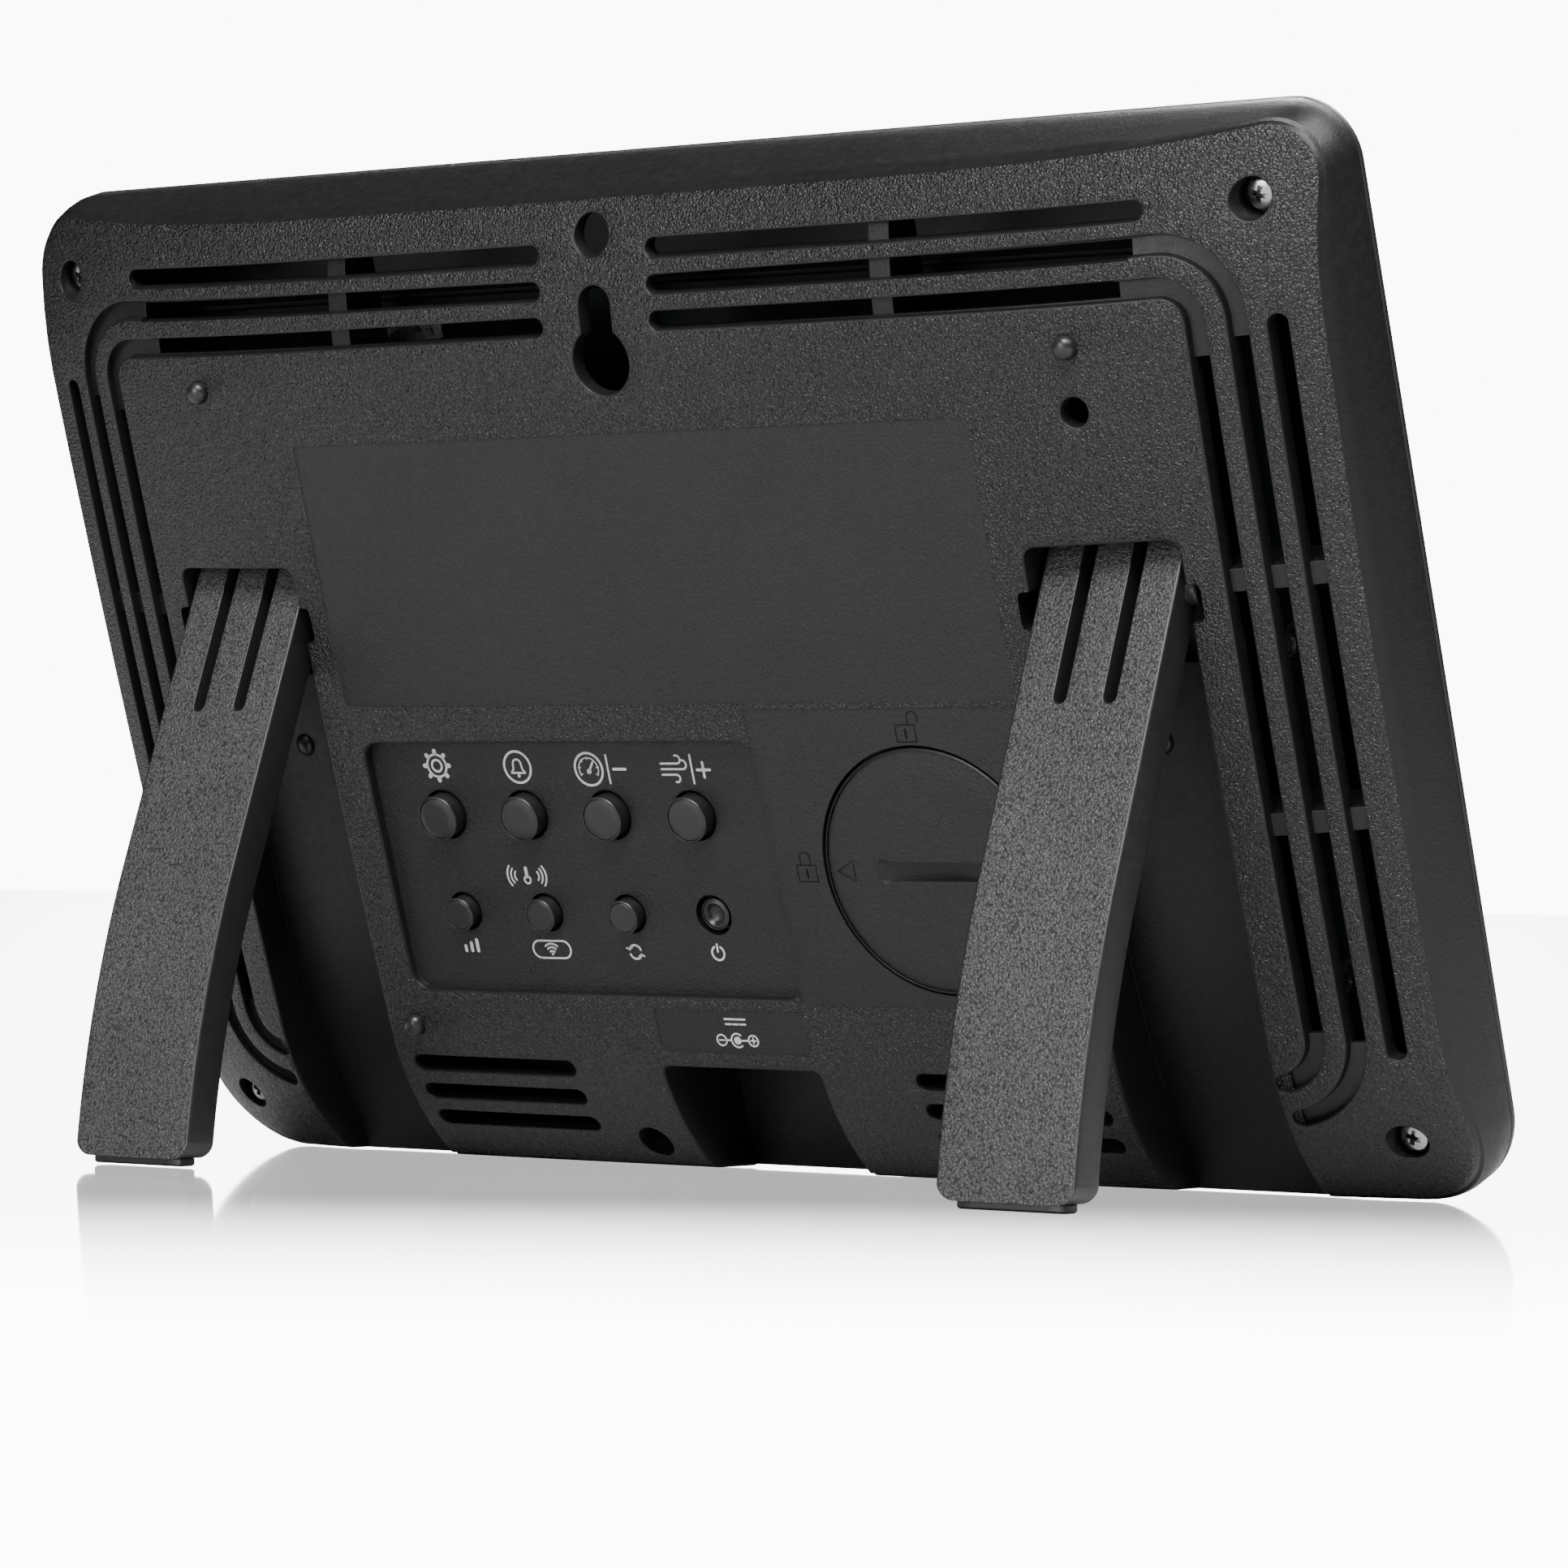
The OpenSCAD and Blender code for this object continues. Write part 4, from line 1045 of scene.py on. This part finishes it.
def pebbles(tree, size):
    """Distance to the middle of warped cells of the given size, as the grain of leather."""
    cells = add_node(tree, "TexVoronoi")
    cells.feature = "SMOOTH_F1"
    cells.inputs["Scale"].default_value = 1 / size
    cells.inputs["Smoothness"].default_value = 0.35
    warp = noise_node(tree, 0.7 / size, 2, 0.5)
    mix = add_node(tree, "Mix")
    mix.data_type = "VECTOR"
    mix.inputs["Factor"].default_value = 0.0006
    link(tree, tree.nodes["place"], "Object", mix, 4)
    link(tree, warp, "Color", mix, 5)
    link(tree, mix, 1, cells, "Vector")
    return cells


def plastic(name, shade, rough, grain, depth, size, specular=0.5, pebble=0.0, crease_shade=0.0, edges=True):
    """Moulded plastic. grain is its bump's strength, depth and size its relief in metres.

    pebble is the strength of leather grain, and the argument after it is how much painted shade darkens the
    creases between its cells, in colour and in specular level.
    """
    material, tree, shader = new_material(name)
    shader.inputs["Specular IOR Level"].default_value = specular
    lift = mottled(tree, 40, shade, 0.86, 1.12)
    link(tree, lift, "Color", shader, "Base Color")
    smear = noise_node(tree, 900, 2, 0.5)
    dull = ramp_node(tree, smear, "Fac", ((0.3, rough - 0.05), (0.75, rough + 0.07)))
    link(tree, dull, "Color", shader, "Roughness")
    normal = soft_edges(tree) if edges else None
    if pebble:
        cells = pebbles(tree, size)
        normal = bump_node(tree, cells, "Distance", pebble, -depth, normal)
        # Painted shade: the creases between the grain's cells get a darker colour and a weaker specular level.
        crease_gloss_shade = ramp_node(tree, cells, "Distance", ((0.2, 1.05 * specular), (0.8, (1 - crease_shade) * specular)))
        link(tree, crease_gloss_shade, "Color", shader, "Specular IOR Level")
        shadow = ramp_node(tree, cells, "Distance", ((0.2, 1.05), (0.8, 1 - crease_shade)))
        darker = add_node(tree, "Mix")
        darker.data_type, darker.blend_type = "RGBA", "MULTIPLY"
        darker.inputs[0].default_value = 1.0
        link(tree, lift, "Color", darker, 6)
        link(tree, shadow, "Color", darker, 7)
        link(tree, darker, 2, shader, "Base Color")
    fine = noise_node(tree, 0.55 / size, 3, 0.6, 0.4)
    normal = bump_node(tree, fine, "Fac", grain, depth, normal)
    link(tree, normal, "Normal", shader, "Normal")
    return material


def plain_finish(name, shade, rough, metallic=0.0, relief=0.1, size=0.0008, coat=0.0, specular=0.5):
    """Any other surface: a mottled colour, uneven gloss and a faint relief."""
    material, tree, shader = new_material(name)
    link(tree, mottled(tree, 120, shade, 0.88, 1.1), "Color", shader, "Base Color")
    streak = noise_node(tree, 1 / size, 2, 0.5)
    gloss = ramp_node(tree, streak, "Fac", ((0.3, max(0.02, rough - 0.05)), (0.7, rough + 0.06)))
    link(tree, gloss, "Color", shader, "Roughness")
    shader.inputs["Metallic"].default_value = metallic
    shader.inputs["Coat Weight"].default_value = coat
    shader.inputs["Specular IOR Level"].default_value = specular
    bump = bump_node(tree, streak, "Fac", relief, 0.00003)
    link(tree, bump, "Normal", shader, "Normal")
    return material


DEEP = (0.008, 0.008, 0.0082)
BLACK = (0.011, 0.011, 0.0113)
SATIN_BLACK = plastic("satin_black", DEEP, 0.4, 0.7, 0.00006, 0.00024, specular=0.32)
GRAIN_BLACK = plastic("grained_black", DEEP, 0.27, 0.8, 0.00022, 0.00032, pebble=0.9, crease_shade=0.3)
FINE_BLACK = plastic("fine_black", BLACK, 0.42, 0.9, 0.00011, 0.00026, 0.36, pebble=0.5, crease_shade=0.15)
# The legs are the case's black plastic; their grained faces are coloured lighter than the case's grain as painted
# light, for the light their upturned faces catch.
LEG_GRAIN_PAINTED_LIGHT = plastic("leg_grain_painted_light", (0.05, 0.05, 0.0505), 0.38, 0.9, 0.00015, 0.00032, 0.55,
                    pebble=1.0, crease_shade=0.65)
LEG_SATIN = plastic("leg_satin", BLACK, 0.38, 0.2, 0.00002, 0.0003)
BEZEL_BLACK = plastic("bezel_black", (0.012, 0.012, 0.0125), 0.4, 0.12, 0.00001, 0.0005)
KEY_BLACK = plastic("key_black", (0.013, 0.013, 0.0135), 0.36, 0.15, 0.00001, 0.0003)
RUBBER_BLACK = plastic("rubber_black", (0.012, 0.012, 0.012), 0.34, 0.2, 0.00002, 0.0004)
# The moulded signs are the case's own plastic in relief; they are coloured darker than the case, with less sheen,
# as painted shade of their raised and sunk lines.
SIGN_PAINTED_SHADE = plastic("moulded_sign_painted_shade", (0.003, 0.003, 0.003), 0.6, 0.1, 0.00001, 0.0003, 0.15, edges=False)
INK = plain_finish("grey_ink", (0.5, 0.5, 0.5), 0.5)
CAD_FINISHES = {
    "window": plain_finish("window_glass", (0.02, 0.022, 0.025), 0.05, relief=0.01, coat=1.0),
    "display_glass": plain_finish("display_glass", (0.2, 0.23, 0.22), 0.12, relief=0.02),
    "elastomer": plain_finish("elastomer", (0.05, 0.05, 0.055), 0.6),
    "diffuser": plain_finish("diffuser", (0.85, 0.87, 0.88), 0.35),
    "led": plain_finish("led", (0.9, 0.85, 0.55), 0.25),
    # The display carrier is white plastic; it is coloured dark grey with little sheen as painted shade, for the
    # shade inside the case behind the vents.
    "carrier_plastic": plain_finish("carrier_plastic", (0.02, 0.02, 0.021), 0.45, specular=0.12),
    "circuit_board": plain_finish("solder_mask", (0.004, 0.008, 0.006), 0.35, relief=0.2, specular=0.12),
    "screw_steel": plain_finish("bright_steel", (0.42, 0.42, 0.43), 0.22, 1.0, 0.3, 0.0005),
    "chip": plain_finish("chip_black", (0.02, 0.02, 0.021), 0.5),
    "shield_can": plain_finish("tinned_steel", (0.6, 0.61, 0.63), 0.3, 1.0),
    "ribbon": plain_finish("ribbon", (0.7, 0.7, 0.68), 0.4),
    "jack_plastic": plain_finish("jack_plastic", (0.012, 0.012, 0.012), 0.35),
    "contact_metal": plain_finish("contact_metal", (0.75, 0.7, 0.58), 0.2, 1.0),
    "cell_steel": plain_finish("cell_steel", (0.7, 0.7, 0.71), 0.2, 1.0),
}


def dress(obj, *materials):
    """Gives a piece its materials, and smooth shading except at edges of 28 degrees and more."""
    parts = [face.material_index for face in obj.data.polygons]
    obj.data.materials.clear()
    for material in materials:
        obj.data.materials.append(material)
    obj.data.polygons.foreach_set("material_index", parts)
    obj.data.polygons.foreach_set("use_smooth", [True] * len(parts))
    obj.data.set_sharp_from_angle(angle=math.radians(28))


def piece(obj, materials, body, slot, *nodes):
    """Finishes a piece and attaches it to its body, hiding the CAD nodes it stands in for."""
    dress(obj, *materials)
    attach(obj, body)
    if nodes:
        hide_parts(*nodes)


# ---------- the pieces ----------
slots_of = {s["node"]: s["material_slot"] for s in frame["record"]["subparts"]}
for node, obj in frame["nodes"].items():
    finish = CAD_FINISHES.get(slots_of[node], SATIN_BLACK)
    obj.data.materials.clear()
    obj.data.materials.append(finish)

piece(rear_cover_mesh(), (SATIN_BLACK, GRAIN_BLACK, FINE_BLACK), "housing", "case_plastic", "rear_cover")
piece(to_case(bezel_mesh()), (BEZEL_BLACK,), "housing", "bezel_plastic", "front_bezel")
for name, side in (("left_leg", 1), ("right_leg", -1)):
    piece(leg_mesh(name + "_strut", side), (LEG_SATIN, LEG_GRAIN_PAINTED_LIGHT), name, "leg_plastic", name)
    piece(pad_mesh(name + "_pad"), (RUBBER_BLACK,), name, "rubber", name + "_pad")
piece(door_mesh(), (SATIN_BLACK, SATIN_BLACK, FINE_BLACK), "battery_door", "door_plastic", "battery_door")
# The door's pointer takes the dark sign finish: painted shade of its moulded outline.
piece(door_mark(), (SIGN_PAINTED_SHADE,), "battery_door", "door_plastic")
KEYS = (("key_settings", "key_channel"), ("key_alarm", "key_wireless"),
        ("key_minus", "key_refresh"), ("key_plus", "key_reset"))
for column, (large, small) in enumerate(KEYS):
    key = key_mesh(large + "_cap", column, LARGE_Z, 3.1, PANEL_Y + 2.0)
    piece(key, (KEY_BLACK,), large, "key_plastic", large)
    if small == "key_reset":
        key = reset_mesh(small + "_cap")
    else:
        key = key_mesh(small + "_cap", column, SMALL_Z, 2.35, PANEL_Y + 1.7)
    piece(key, (KEY_BLACK,), small, "key_plastic", small)
piece(screws_mesh(), (CAD_FINISHES["screw_steel"],), "housing", "screw_steel", "case_screws")
sites = [(x, back_y(x, z), z) for x, z in WALL_BUMPERS]
piece(studs_mesh("wall_studs", sites, 1.5), (RUBBER_BLACK,), "housing", "rubber", "wall_bumpers")
sites = [(x, channel_floor(0, LEG_BUMPER_Z), LEG_BUMPER_Z) for x in (-LEG_X, LEG_X)]
piece(studs_mesh("channel_studs", sites, 0.9), (RUBBER_BLACK,), "housing", "rubber", "leg_bumpers")
# The lock signs take the dark sign finish: painted shade of their moulded lines.
for mark, finish in ((panel_marks(), INK), (inlet_marks(), INK), (lock_marks(), SIGN_PAINTED_SHADE)):
    piece(mark, (finish,), "housing", "case_plastic")


# ---------- floor, light and camera ----------
WHITE = 13.0


def seen_directly(tree, lit, shown):
    """Mixes two shaders: one for the light they give, one for how the camera sees them."""
    path = add_node(tree, "LightPath")
    mix = add_node(tree, "MixShader")
    link(tree, path, "Is Camera Ray", mix, "Fac")
    link(tree, lit, 0, mix, 1)
    link(tree, shown, 0, mix, 2)
    return mix


def stage_floor():
    """White table with a mirror sheen that fades out towards the camera."""
    material, tree, shader = new_material("floor_white")
    mottle = noise_node(tree, 6, 2, 0.5)
    tone = ramp_node(tree, mottle, "Fac", ((0.3, (0.46, 0.46, 0.46)), (0.7, (0.5, 0.5, 0.5))))
    link(tree, tone, "Color", shader, "Base Color")
    shader.inputs["Roughness"].default_value = 0.6
    glow = add_node(tree, "Emission", Strength=WHITE)
    sheen = add_node(tree, "BsdfGlossy", Roughness=0.05)
    apart = add_node(tree, "VectorMath")
    apart.operation = "DISTANCE"
    link(tree, tree.nodes["place"], "Object", apart, 0)
    apart.inputs[1].default_value = (-0.424, 0.581, 0.0)
    fade = add_node(tree, "MapRange", From_Min=0.44, From_Max=0.68, To_Min=0.0, To_Max=0.955)
    fade.interpolation_type = "SMOOTHSTEP"
    link(tree, apart, "Value", fade, "Value")
    top = add_node(tree, "MixShader")
    link(tree, fade, "Result", top, "Fac")
    link(tree, glow, 0, top, 1)
    link(tree, sheen, 0, top, 2)
    mix = seen_directly(tree, shader, top)
    link(tree, mix, "Shader", tree.nodes["Material Output"], "Surface")
    half, level = 6.0, -0.0002   # metres, just clear of the part's lowest faces
    corners = [(x * half, y * half, level) for x, y in ((-1, -1), (1, -1), (1, 1), (-1, 1))]
    floor = make_object("floor", corners, [(0, 1, 2, 3)], (), None)
    floor.data.materials.append(material)


def area_light(name, place, aim, size, power):
    data = bpy.data.lights.new(name, "AREA")
    data.energy = power
    data.size = size
    light = in_scene(name, data)
    light.location = place
    light.rotation_euler = (Vector(aim) - Vector(place)).to_track_quat("-Z", "Y").to_euler()


def make_world(strength):
    """Even grey light, with a white backdrop ahead of the camera for it and the floor to show."""
    world = bpy.data.worlds.new("studio")
    world.use_nodes = True
    tree = world.node_tree
    sky = tree.nodes["Background"]
    sky.inputs["Strength"].default_value = strength
    backdrop = add_node(tree, "Background", Strength=WHITE)
    place = add_node(tree, "TexCoord")
    facing = add_node(tree, "VectorMath")
    facing.operation = "DOT_PRODUCT"
    link(tree, place, "Generated", facing, 0)
    facing.inputs[1].default_value = (0.574, -0.809, 0.13)
    edge = add_node(tree, "MapRange", From_Min=0.975, From_Max=0.985)
    link(tree, facing, "Value", edge, "Value")
    ahead = add_node(tree, "MixShader")
    link(tree, edge, "Result", ahead, "Fac")
    link(tree, sky, 0, ahead, 1)
    link(tree, backdrop, 0, ahead, 2)
    mix = seen_directly(tree, ahead, backdrop)
    link(tree, mix, "Shader", tree.nodes["World Output"], "Surface")
    bpy.context.scene.world = world


def make_camera():
    """The main view: from behind, low, with a long lens and a slight roll."""
    data = bpy.data.cameras.new("camera")
    data.sensor_width = 36.0
    data.lens = 128.8
    data.clip_start = 0.05
    camera = in_scene("camera", data)
    bearing, rise, roll = math.radians(144.608), math.radians(0.935), math.radians(-0.738)
    ahead = Vector((math.sin(bearing) * math.cos(rise), math.cos(bearing) * math.cos(rise), math.sin(rise)))
    right = ahead.cross(Vector((0, 0, 1))).normalized()
    up = right.cross(ahead)
    up, right = up * math.cos(roll) + right * math.sin(roll), right * math.cos(roll) - up * math.sin(roll)
    spin = Matrix((right, up, -ahead)).transposed().to_4x4()
    camera.matrix_world = Matrix.Translation(Vector((-0.4240, leg_pivot[1] + 0.570975, 0.03871))) @ spin
    bpy.context.scene.camera = camera


stage_floor()
make_world(0.07)
area_light("overhead", (-0.35, 0.85, 1.1), (0, 0, 0.06), 0.7, 34)
area_light("low", (0.2, 1.0, 0.22), (0, 0, 0.05), 0.5, 6)
area_light("top", (-0.42, 0.0, 0.62), (-0.05, 0, 0.12), 0.4, 6.5)
area_light("back", (0.12, -0.72, 0.55), (-0.05, 0, 0.1), 0.5, 13)
make_camera()
